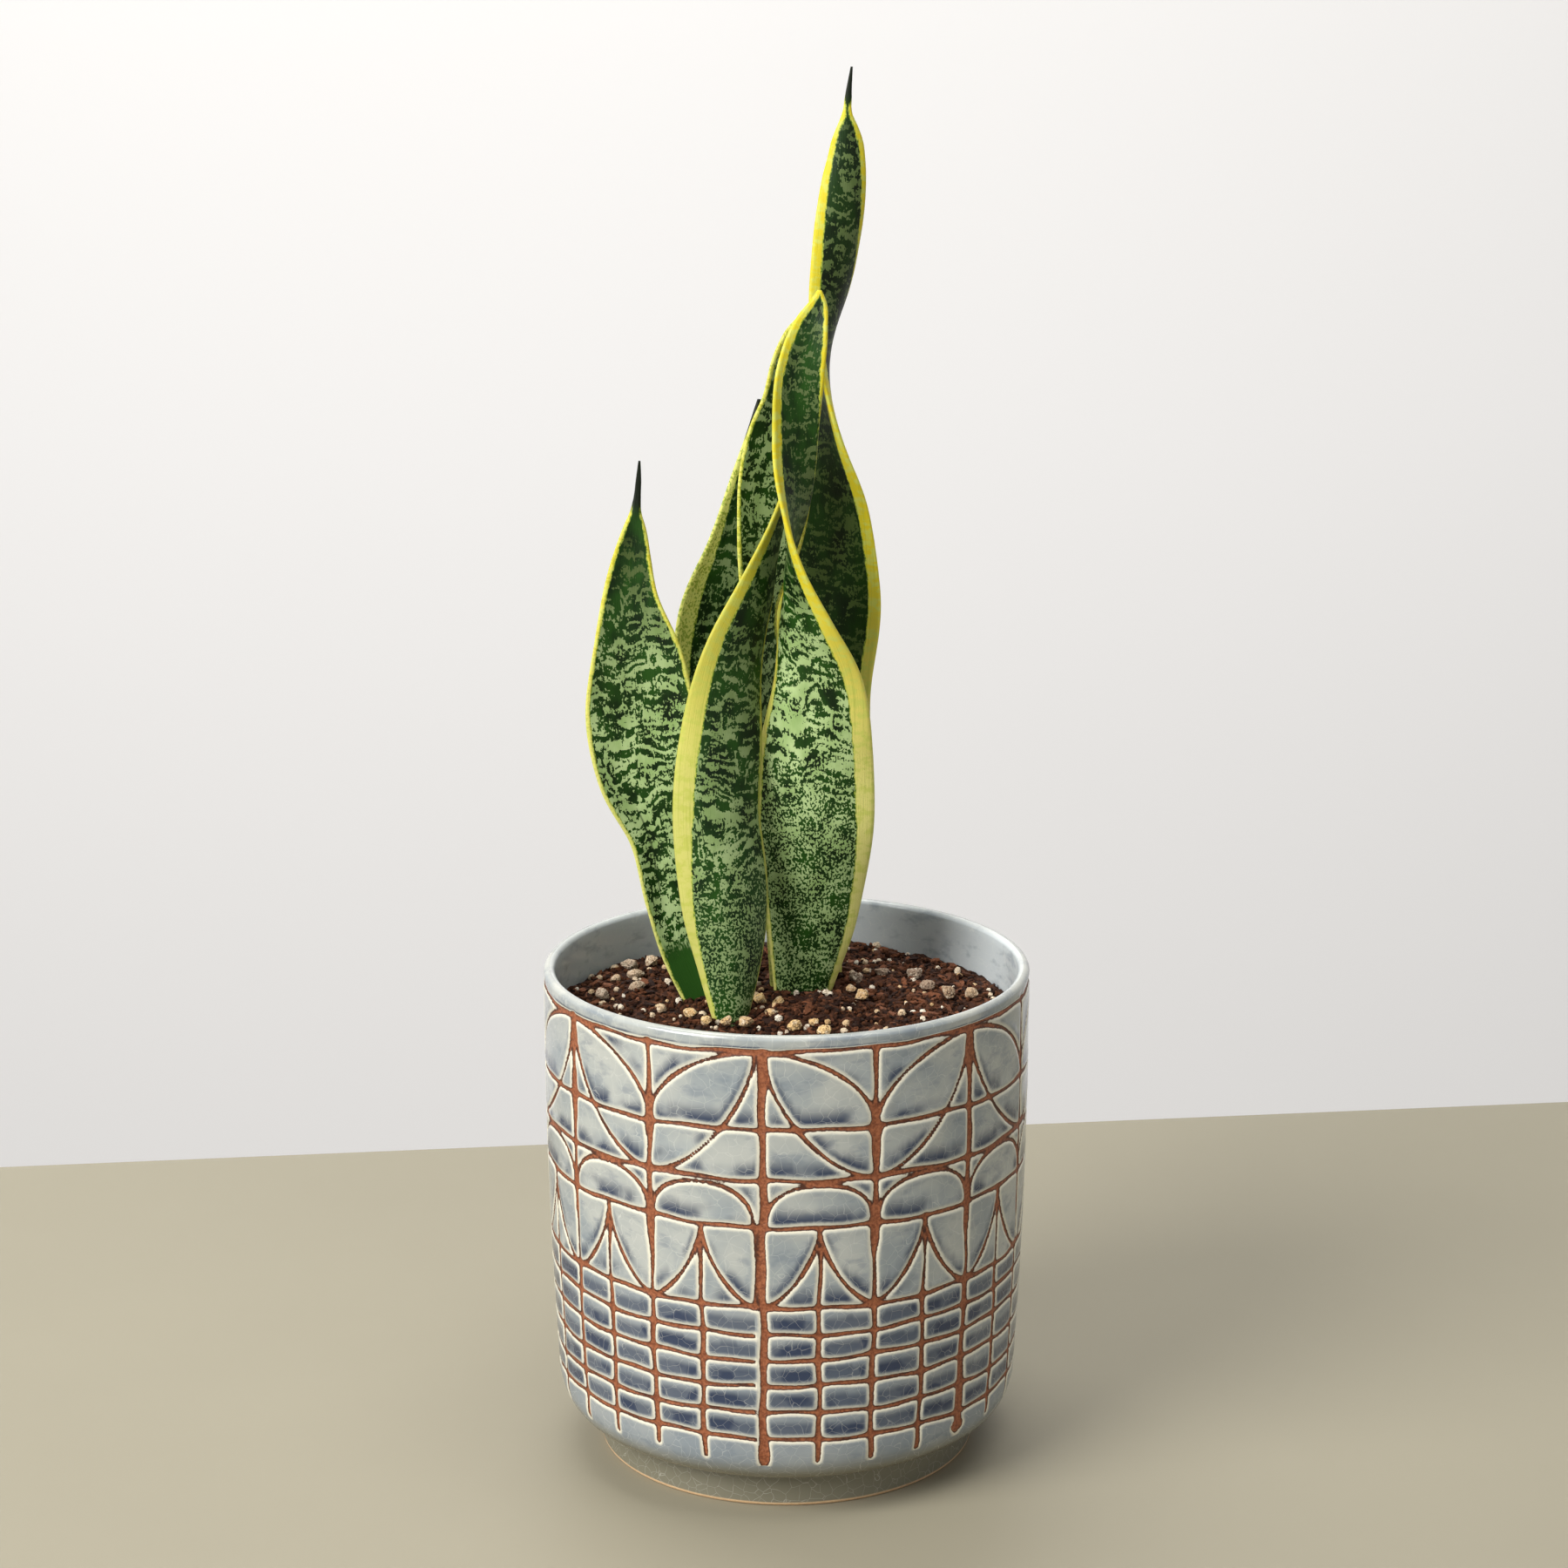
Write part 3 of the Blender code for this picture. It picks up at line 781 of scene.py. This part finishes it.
def leaf_columns(stations, heights):
    """Spine, width, turn and channel at each height; below the soil the leaf goes straight down."""
    above = np.maximum(heights, 0.0)
    x, y, width, turn, channel = (eased(stations, column, above) for column in range(1, 6))
    buried = np.minimum(heights, 0.0) / ROOT_DEPTH
    width = width * (1 + (1 - BURIED_WIDTH) * buried)
    spine = np.stack([x, y, SOIL_TOP + heights], axis=-1)
    return spine, width, np.radians(turn), np.radians(channel)


def unit(vectors):
    return vectors / np.linalg.norm(vectors, axis=-1, keepdims=True)


def both_faces(values):
    """The values of the front face, repeated for the back face's points."""
    return np.concatenate([values, values[:, -2:0:-1]], axis=1)


def by_height(table, column, heights):
    """A column of a table, straight between its rows."""
    return np.interp(heights, [row[0] for row in table], [row[column] for row in table])


def leaf_mesh(name, stations):
    top = stations[-1][0]
    seed = PATTERNS[name][0]
    root, blade = np.linspace(-ROOT_DEPTH, -3, 6), np.arange(-1.5, top - 12, 1.5)
    heights = np.concatenate([root, blade, np.linspace(top - 12, top, 18)])
    spine, width, turn, channel = leaf_columns(stations, heights)
    ahead = leaf_columns(stations, np.minimum(heights + 0.5, top))[0]
    behind = leaf_columns(stations, heights - 0.5)[0]
    along = unit(ahead - behind)
    across = np.stack([np.cos(turn), np.sin(turn), np.zeros_like(turn)], axis=-1)
    across = unit(across - along * (across * along).sum(axis=-1, keepdims=True))
    facing = np.cross(across, along)

    share = np.maximum(heights, 0) / top
    middle = np.minimum(LEAF_THICKNESS * (1 - TIP_THINNING * share), 0.6 * width)
    margin = np.minimum(MARGIN_THICKNESS, 0.7 * middle)

    # places across the blade: crowded near its two margins, where the edge is rounded
    inner = np.linspace(-1, 1, 25)
    places = np.sign(inner) * (1 - (1 - np.abs(inner)) ** 1.5)
    half = width / 2
    u = np.repeat(places[None], len(heights), axis=0)
    from_edge = (1 - np.abs(u)) * half[:, None]
    depth = margin[:, None] / 2 + (middle - margin)[:, None] / 2 * (1 - np.abs(u) ** 2.2)
    rounding = np.clip(from_edge / (margin[:, None] * 0.6), 0, 1)
    depth = depth * np.sqrt(1 - (1 - rounding) ** 2)

    ripple = 0.35 * np.sin(heights[:, None] / 7.3 + seed + 2 * np.sign(u)) * np.abs(u) ** 3
    ripple = ripple * smoothstep(5, 30, heights)[:, None] * smoothstep(0, 14, width)[:, None]
    angle = channel[:, None] * u
    bend = channel[:, None]
    sideways = half[:, None] * np.sin(angle) / bend
    forward = half[:, None] * (1 - np.cos(angle)) / bend
    centre = spine[:, None] + across[:, None] * sideways[..., None] + facing[:, None] * forward[..., None]
    normal = facing[:, None] * np.cos(angle)[..., None] - across[:, None] * np.sin(angle)[..., None]
    fold_at, fold_low, fold_high, fold_height = FOLDS.get(name, (0, 0, 1, 0))
    fold_share = smoothstep(fold_low, fold_low + 25, heights) * smoothstep(fold_high, fold_high - 25, heights)
    from_fold = np.abs(u - fold_at)
    fold = fold_height * fold_share[:, None] * np.clip(1 - from_fold / 0.5, 0, 1) ** 1.3
    centre = centre + normal * (ripple + fold)[..., None]
    front = centre + normal * depth[..., None]
    back = centre - normal * depth[..., None]
    ring = np.concatenate([front, back[:, -2:0:-1]], axis=1)
    mesh = grid_mesh(name, ring, cap_ends=True)
    fix_normals(mesh)

    clear = np.clip(heights, 0, top)
    left = (1 + u) * half[:, None] - by_height(MARGINS[name], 1, clear)[:, None]
    right = (1 - u) * half[:, None] - by_height(MARGINS[name], 2, clear)[:, None]
    bright = by_height(PALENESS[name], 1, clear)
    crease = from_fold * half[:, None] + 20 * (1 - np.minimum(fold_share, 1))[:, None]
    set_attribute(mesh, "across", both_faces(u * half[:, None]))
    set_attribute(mesh, "height", both_faces(np.repeat(heights[:, None], u.shape[1], axis=1)))
    set_attribute(mesh, "inset", both_faces(np.minimum(left, right)))
    set_attribute(mesh, "paleness", both_faces(np.repeat(bright[:, None], u.shape[1], axis=1)))
    set_attribute(mesh, "crease", both_faces(crease if fold_height else np.full(u.shape, 20.0)))
    return mesh


def leaf_material(name):
    seed, speckled, plain, mottled, depth, deep_yellow = PATTERNS[name]
    s = Shader(name)
    across = s.attribute("across")
    height = s.attribute("height")
    inset = s.attribute("inset")
    paleness = s.attribute("paleness")
    flat = s.vector(across, height, seed)

    # broad wavy bands across the blade, broken into short upright dashes and fine grains
    bend = s.noise(s.scaled(flat, (0.08, 0.04, 1.0)), 1.0, 2.0, colour=True)
    wavy = s.shifted(flat, bend, 12.0)
    bands = s.noise(s.scaled(wavy, (0.06, 0.38, 1.0)), 1.0, 2.0, 0.5)
    broad = s.noise(s.scaled(wavy, (0.03, 0.10, 1.0)), 1.0, 1.0)
    dashes = s.noise(s.scaled(flat, (1.5, 0.36, 1.0)), 1.0, 2.0, 0.6)
    grains = s.noise(s.scaled(flat, (1.25, 0.9, 1.0)), 1.0, 1.0, 0.6)
    near_soil = s.step(height, speckled + 30.0, speckled - 15.0)
    coarse = s.weighted((bands, 1.6), (broad, 0.4), (dashes, 0.65), (grains, 0.7))
    specks = s.weighted((bands, 0.75), (broad, 0.55), (dashes, 0.35), (grains, 1.7))
    value = s.blend(near_soil, coarse, specks)
    value = s.math("ADD", value, s.math("MULTIPLY", s.math("SUBTRACT", paleness, 0.8), 0.13))
    pale = s.step(value, 1.655, 1.7)
    if name in DARK_TIPS:
        pale = s.math("MULTIPLY", pale, s.step(height, DARK_TIPS[name], DARK_TIPS[name] - 16.0))
    if plain:
        ragged_base = s.math("ADD", height, s.math("MULTIPLY", dashes, 14.0))
        pale = s.math("MULTIPLY", pale, s.step(ragged_base, plain + 5.0, plain + 10.0))

    tone = s.noise(s.scaled(flat, (0.12, 0.06, 1.0)), 1.0, 3.0)
    dark_green = s.mix(s.step(tone, 0.3, 0.7), rgb(10, 30, 7), rgb(36, 72, 20))
    # painted shade: the dark green is darkened further, as far as the leaf's depth value says
    dark_green = s.mix(depth, dark_green, rgb(20, 28, 12))
    light = s.mix(s.step(tone, 0.3, 0.7), rgb(148, 178, 110), rgb(188, 212, 150))
    pale_green = s.mix(s.step(paleness, 0.0, 1.0), rgb(66, 82, 42), light)
    green = s.mix(pale, dark_green, pale_green)
    if plain:
        green = s.mix(s.step(ragged_base, plain + 12.0, plain + 2.0), green, rgb(46, 84, 32))
    # painted shade: the green is darkened along the crease of a fold
    fold = s.step(s.math("ADD", s.attribute("crease"), s.math("MULTIPLY", dashes, 0.8)), 1.1, 0.5)
    green = s.mix(s.math("MULTIPLY", fold, 0.7), green, rgb(18, 40, 16))

    # yellow margins with a ragged inner edge and fine lines along them
    uneven = s.noise(s.scaled(flat, (0.9, 0.26, 1.0)), 1.0, 3.0)
    edge = s.math("ADD", inset, s.math("MULTIPLY", s.math("SUBTRACT", uneven, 0.5), 1.5))
    low_cream = s.step(height, 170.0, 70.0)
    yellow = s.mix(low_cream, rgb(208, 192, 44), rgb(218, 214, 126))
    mottle = s.noise(s.scaled(flat, (0.2, 0.3, 1.0)), 1.0, 4.0, 0.6)
    yellow = s.mix(s.math("MULTIPLY", s.step(mottle, 0.45, 0.6), 0.8), yellow, rgb(196, 202, 96))
    lines = s.noise(s.scaled(flat, (2.2, 0.02, 1.0)), 1.0, 1.0)
    yellow = s.mix(s.math("MULTIPLY", s.step(lines, 0.6, 0.68), 0.3), yellow, rgb(146, 164, 60))
    freckles = s.step(s.weighted((grains, 0.6), (mottle, 0.4)), 0.44, 0.5)
    yellow = s.mix(mottled, yellow, s.mix(freckles, rgb(120, 148, 62), rgb(206, 208, 116)))
    lime = s.mix(s.step(grains, 0.4, 0.6), rgb(78, 112, 34), rgb(168, 180, 74))
    if deep_yellow:
        yellow = s.mix(deep_yellow, yellow, rgb(148, 150, 58))
    margin = s.mix(s.step(edge, -0.55, -0.1), yellow, lime)
    colour = s.mix(s.step(edge, -0.12, 0.2), margin, green)
    if name in DARK_TIPS:
        colour = s.mix(s.step(height, DARK_TIPS[name], DARK_TIPS[name] + 6.0), colour, rgb(20, 28, 14))

    fibres = s.noise(s.scaled(flat, (3.2, 0.05, 1.0)), 1.0, 2.0)
    swell = s.weighted((fibres, 0.5), (pale, 0.12))
    roughness = s.weighted((grains, 0.2), (1.0, 0.34))
    return s.finish(colour, roughness, s.bump(swell, 0.0004, 0.7), specular=0.24)


def make_leaves():
    for name, stations in LEAVES.items():
        mesh = leaf_mesh(name, stations)
        add_piece(f"{name}_blade", mesh, leaf_material(name), "leaf", name)


# ---------------------------------------------------------------- soil
# Heaps of soil round the leaves' feet: x, y, height, reach (mm)
HEAPS = (
    (12, -6, 5, 15),
    (-3, -13, 3.4, 8),
    (-30, -3, 2.5, 14),
    (-70, 20, 3, 18),
    (45, 40, 2.5, 22),
    (0, 60, 2, 40),
)
SOIL_RINGS, SOIL_COLUMNS = 110, 260


def soil_height(x, y):
    """The soil's uneven top at a place, in mm."""
    broad = noise.noise(Vector((x * 0.03, y * 0.03, 3.1))) * 1.8
    lumps = noise.noise(Vector((x * 0.13, y * 0.13, 7.7))) * 1.5
    heaped = 0.0
    for heap_x, heap_y, height, reach in HEAPS:
        heaped += height * math.exp(-((x - heap_x) ** 2 + (y - heap_y) ** 2) / reach**2)
    return SOIL_TOP - 1.2 + broad + lumps + heaped


def inner_radius(z):
    return float(outer_radius(np.array(float(z)))) - WALL


def make_soil():
    inner = inner_radius(SOIL_TOP) - 0.1
    turns = [2 * math.pi * column / SOIL_COLUMNS for column in range(SOIL_COLUMNS)]
    rows = []
    for ring in range(1, SOIL_RINGS + 1):
        radius = inner * ring / SOIL_RINGS
        row = []
        for angle in turns:
            x, y = radius * math.cos(angle), radius * math.sin(angle)
            grit = noise.fractal(Vector((x * 0.45, y * 0.45, 1.3)), 0.8, 2.1, 4) * 0.9
            row.append((x, y, soil_height(x, y) + grit))
        rows.append(row)
    low = FLOOR_TOP + 0.3
    sides = [(inner_radius(z) - 0.4, z) for z in (120, 70, 40)]
    for radius, z in sides + [(76.0, 26), (68.0, 18), (58.0, low), (6.0, low)]:
        rows.append([(radius * math.cos(angle), radius * math.sin(angle), z) for angle in turns])
    mesh = grid_mesh("soil_bed", np.array(rows), cap_ends=True)
    fix_normals(mesh)
    return add_piece("soil_bed", mesh, soil_material(), "potting_mix", "soil")


def soil_material():
    s = Shader("potting_mix")
    place = s.position()
    lumps = s.noise(place, 420.0, 4.0, 0.65)
    colour = s.mix(s.step(lumps, 0.35, 0.65), rgb(34, 18, 10), rgb(84, 52, 34))
    colour = s.mix(s.step(s.noise(place, 150.0, 2.0), 0.55, 0.75), colour, rgb(84, 50, 34))
    return s.finish(colour, 0.92, s.bump(lumps, 0.0012), specular=0.25)


def scatter(name, template, count, seed, size, material, slot, tilt, lift, stretch):
    """Many copies of a small shape over the soil, joined into one piece, each with its own tint."""
    chance = random.Random(seed)
    inner = inner_radius(SOIL_TOP)
    verts, faces, tints = [], [], []
    base = np.array([tuple(v.co) for v in template.vertices])
    polygons = [tuple(p.vertices) for p in template.polygons]
    placed = 0
    while placed < count:
        radius = (inner - 2.5) * math.sqrt(chance.random())
        angle = chance.uniform(0, 2 * math.pi)
        x, y = radius * math.cos(angle), radius * math.sin(angle)
        long = chance.uniform(*size)
        shape = stretch(chance)
        rough = base * (1 + np.array([chance.uniform(-0.16, 0.16) for _ in range(len(base))])[:, None])
        rough = rough * np.array(shape) * long / 2
        turn = Matrix.Rotation(chance.uniform(0, 2 * math.pi), 3, "Z")
        turn = turn @ Matrix.Rotation(chance.gauss(0, tilt), 3, "Y")
        turn = turn @ Matrix.Rotation(chance.gauss(0, tilt), 3, "X")
        moved = rough @ np.array(turn).T
        moved = moved + np.array((x, y, soil_height(x, y) + lift * long * shape[2]))
        outermost = np.hypot(moved[:, 0], moved[:, 1]).max()
        if outermost > inner - 0.3:
            continue
        start = len(verts)
        verts.extend(moved.tolist())
        faces.extend([tuple(start + i for i in polygon) for polygon in polygons])
        tints.extend([chance.random()] * len(moved))
        placed += 1
    mesh = bpy.data.meshes.new(name)
    mesh.from_pydata((np.array(verts) * MM).tolist(), [], faces)
    mesh.update()
    set_attribute(mesh, "tint", tints)
    return add_piece(name, mesh, material, slot)


def flat_shape(chance):
    return 1, chance.uniform(0.3, 0.6), chance.uniform(0.12, 0.3)


def round_shape(chance):
    return 1, chance.uniform(0.7, 1), chance.uniform(0.6, 0.9)


def lump_template(subdivisions):
    shape = bmesh.new()
    bmesh.ops.create_icosphere(shape, subdivisions=subdivisions, radius=1.0)
    mesh = bpy.data.meshes.new("lump")
    shape.to_mesh(mesh)
    shape.free()
    return mesh


def chip_template():
    """A flat splinter with broken ends."""
    shape = bmesh.new()
    bmesh.ops.create_cube(shape, size=2.0)
    bmesh.ops.subdivide_edges(shape, edges=shape.edges[:], cuts=3, use_grid_fill=True)
    chance = random.Random(5)
    for vert in shape.verts:
        taper = 1 - 0.35 * abs(vert.co.x) ** 3
        vert.co.y *= taper
        vert.co.z *= taper
        vert.co.x += chance.uniform(-0.12, 0.12)
        vert.co.y += chance.uniform(-0.1, 0.1)
        vert.co.z += chance.uniform(-0.12, 0.12)
    mesh = bpy.data.meshes.new("chip")
    shape.to_mesh(mesh)
    shape.free()
    return mesh


def bark_material():
    s = Shader("bark")
    place = s.position()
    tint = s.attribute("tint")
    fibre = s.noise(place, 900.0, 3.0, 0.6)
    colour = s.mix(s.step(tint, 0.2, 0.9), rgb(44, 25, 15), rgb(112, 68, 44))
    colour = s.mix(s.step(tint, 0.9, 0.97), colour, rgb(128, 84, 62))
    colour = s.mix(s.math("MULTIPLY", s.step(fibre, 0.45, 0.75), 0.5), colour, rgb(26, 13, 8))
    return s.finish(colour, 0.85, s.bump(fibre, 0.0006), specular=0.3)


def crumb_material():
    s = Shader("soil_crumb")
    place = s.position()
    tint = s.attribute("tint")
    colour = s.mix(tint, rgb(30, 16, 10), rgb(86, 54, 36))
    return s.finish(colour, 0.95, s.bump(s.noise(place, 1500.0, 3.0), 0.0004), specular=0.2)


def grit_material():
    s = Shader("pumice_grit")
    place = s.position()
    tint = s.attribute("tint")
    colour = s.mix(tint, rgb(196, 160, 112), rgb(232, 224, 206))
    dirt = s.step(s.noise(place, 800.0, 3.0), 0.5, 0.72)
    colour = s.mix(s.math("MULTIPLY", dirt, 0.7), colour, rgb(120, 84, 58))
    return s.finish(colour, 0.9, s.bump(s.noise(place, 1800.0, 3.0), 0.0004), specular=0.3)


def make_litter():
    bark, crumb, grit = bark_material(), crumb_material(), grit_material()
    chip, lump, fine_lump = chip_template(), lump_template(2), lump_template(3)
    scatter("bark_chips", chip, 2000, 21, (1.5, 4.8), bark, "potting_mix", 0.3, 0.5, flat_shape)
    scatter("soil_crumbs", lump, 4200, 22, (0.7, 2.4), crumb, "potting_mix", 0.8, 0.35, round_shape)
    scatter("pumice_grit", fine_lump, 280, 23, (0.9, 3.2), grit, "pumice", 0.8, 0.45, round_shape)


# ---------------------------------------------------------------- pumice stones
# Colour of each group of stones: its last stone, golden (0) to grey (1), dark (0) to pale (1)
STONE_GROUPS = (
    (1, 0.55, 0.9),
    (11, 0.15, 0.85),
    (13, 0.2, 0.55),
    (17, 0.85, 0.35),
    (19, 0.6, 0.5),
    (26, 0.7, 0.7),
)
STONE_SWELL = 1.1
STONE_FACETS = 15
FACET_SHARPNESS = 9


def facet_radius(direction, cuts):
    """How far a stone cut by flat faces reaches in a direction, with its edges worn round."""
    total = 0.0
    for normal, distance in cuts:
        total += max(0.0, normal.dot(direction) / distance) ** FACET_SHARPNESS
    return total ** (-1 / FACET_SHARPNESS)


def make_stones():
    material = stone_material()
    names = sorted(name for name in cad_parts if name.startswith("pumice_"))
    for number, node in enumerate(names, start=1):
        low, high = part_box(node)
        centre = (low + high) / 2
        size = high - low
        chance = random.Random(number)
        cuts = []
        for _ in range(STONE_FACETS):
            cut = Vector((chance.gauss(0, 1), chance.gauss(0, 1), chance.gauss(0, 1))).normalized()
            cuts.append((cut, chance.uniform(0.7, 1.0)))
        shape = bmesh.new()
        bmesh.ops.create_icosphere(shape, subdivisions=5, radius=1.0)
        offset = Vector((number * 7.3, number * 3.1, 0))
        for vert in shape.verts:
            direction = vert.co.normalized()
            rough = noise.fractal(direction * 3.0 + offset, 0.7, 2.0, 4) * 0.09
            pores = max(0.0, noise.noise(direction * 6.5 + offset * 2) - 0.1) * -0.75
            vert.co = direction * (min(facet_radius(direction, cuts), 1.25) + rough + pores)
        reach = [max(abs(v.co[i]) for v in shape.verts) for i in range(3)]
        swell = (STONE_SWELL, STONE_SWELL, STONE_SWELL * 1.15)
        for vert in shape.verts:
            scaled = Vector(vert.co[i] / reach[i] * size[i] / 2 * swell[i] for i in range(3))
            vert.co = centre + scaled
        mesh = bpy.data.meshes.new(f"{node}_stone")
        shape.to_mesh(mesh)
        shape.free()
        mesh.shade_smooth()
        grey, pale = next((grey, pale) for last, grey, pale in STONE_GROUPS if number <= last)
        count = len(mesh.vertices)
        set_attribute(mesh, "grey", np.full(count, grey + chance.uniform(-0.15, 0.15)))
        set_attribute(mesh, "pale", np.full(count, pale + chance.uniform(-0.15, 0.15)))
        add_piece(f"{node}_stone", mesh, material, "pumice", node)


def stone_material():
    s = Shader("pumice_stone")
    place = s.position()
    pores = s.noise(place, 1400.0, 3.0, 0.6)
    golden = s.mix(s.attribute("pale"), rgb(148, 98, 54), rgb(236, 200, 140))
    grey = s.mix(s.attribute("pale"), rgb(110, 96, 86), rgb(206, 188, 170))
    colour = s.mix(s.attribute("grey"), golden, grey)
    chalky = s.step(s.noise(place, 600.0, 2.0), 0.5, 0.7)
    colour = s.mix(s.math("MULTIPLY", chalky, 0.6), colour, rgb(226, 214, 192))
    colour = s.mix(s.math("MULTIPLY", s.step(pores, 0.5, 0.66), 0.8), colour, rgb(92, 60, 42))
    return s.finish(colour, 0.92, s.bump(pores, 0.0006), specular=0.25)


# ---------------------------------------------------------------- rhizome
def make_rhizome():
    """The CAD rhizome stays; it takes a mottled, fleshy skin."""
    s = Shader("rhizome_skin")
    mottle = s.noise(s.position(), 300.0, 3.0)
    colour = s.mix(mottle, rgb(206, 140, 60), rgb(232, 188, 120))
    material = s.finish(colour, 0.6, s.bump(mottle, 0.0005))
    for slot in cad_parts["rhizome"].material_slots:
        slot.material = material


# ---------------------------------------------------------------- stage, light and camera
def make_stage():
    floor_material = Shader("table_top")
    grain = floor_material.noise(floor_material.position(), 6.0, 3.0)
    tone = floor_material.mix(grain, rgb(145, 139, 121), rgb(151, 145, 126))
    floor_material.finish(tone, 0.55, specular=0.3)
    shape = bmesh.new()
    turn = math.radians(6.9)
    back_left = (-0.36, 0.276)
    direction = (math.cos(turn), math.sin(turn))
    corners = []
    for along, depth in ((-3.0, 0.0), (4.0, 0.0), (4.0, -4.0), (-3.0, -4.0)):
        x = back_left[0] + direction[0] * along - direction[1] * depth
        y = back_left[1] + direction[1] * along + direction[0] * depth
        corners.append(shape.verts.new((x, y, 0.0)))
    shape.faces.new(corners[::-1])
    mesh = bpy.data.meshes.new("table_top")
    shape.to_mesh(mesh)
    shape.free()
    mesh.materials.append(floor_material.material)
    table = bpy.data.objects.new("table_top", mesh)
    bpy.context.scene.collection.objects.link(table)

    wall_material = Shader("wall")
    wall_material.finish(rgb(240, 238, 236), 0.9, specular=0.1)
    bpy.ops.mesh.primitive_plane_add(size=12.0, location=(0, 2.6, 0.5), rotation=(math.pi / 2, 0, 0))
    wall = bpy.context.active_object
    wall.name = "wall"
    wall.data.materials.append(wall_material.material)


def area_light(name, place, aim, size, power, colour=(1, 1, 1)):
    data = bpy.data.lights.new(name, "AREA")
    data.shape = "DISK"
    data.size = size
    data.energy = power
    data.color = colour
    lamp = bpy.data.objects.new(name, data)
    lamp.location = place
    lamp.rotation_euler = (Vector(aim) - Vector(place)).to_track_quat("-Z", "Y").to_euler()
    bpy.context.scene.collection.objects.link(lamp)


def make_light():
    area_light("key", (-1.58, -1.3, 1.5), (0, 0, 0.2), 1.5, 78, (1.0, 0.985, 0.96))
    area_light("front_fill", (0.3, -2.6, 2.4), (0.2, -1.4, 0), 2.2, 10)
    area_light("top", (0.5, -0.3, 2.3), (0, 0, 0.2), 1.2, 14)
    area_light("wall_wash", (-0.5, 0.9, 2.8), (-0.5, 2.6, 0.7), 1.6, 49)
    world = bpy.data.worlds.new("studio")
    bpy.context.scene.world = world
    world.use_nodes = True
    tree = world.node_tree
    direction = tree.nodes.new("ShaderNodeTexCoord").outputs["Generated"]
    parts = tree.nodes.new("ShaderNodeSeparateXYZ")
    tree.links.new(direction, parts.inputs[0])
    fade = tree.nodes.new("ShaderNodeMapRange")
    fade.interpolation_type = "SMOOTHSTEP"
    for name, value in (("From Min", 0.22), ("From Max", 0.5), ("To Min", 0.5), ("To Max", 0.25)):
        fade.inputs[name].default_value = value
    tree.links.new(parts.outputs["Z"], fade.inputs["Value"])
    background = tree.nodes["Background"]
    background.inputs["Color"].default_value = (1.0, 1.0, 1.0, 1.0)
    tree.links.new(fade.outputs["Result"], background.inputs["Strength"])


def make_camera():
    """In front of the plant, just above its tallest tip, looking down a little."""
    data = bpy.data.cameras.new("camera")
    data.sensor_width = 36.0
    data.lens = 79.3
    data.shift_x = -0.0017
    camera = bpy.data.objects.new("camera", data)
    camera.location = (0.0, -1.2124, 0.5583)
    camera.rotation_euler = (math.radians(90 - 14.23), 0, 0)
    bpy.context.scene.collection.objects.link(camera)
    bpy.context.scene.camera = camera


bpy.context.scene.view_settings.view_transform = "Standard"
make_camera()
make_light()
make_stage()
make_pot()
make_soil()
make_litter()
make_stones()
make_rhizome()
make_leaves()
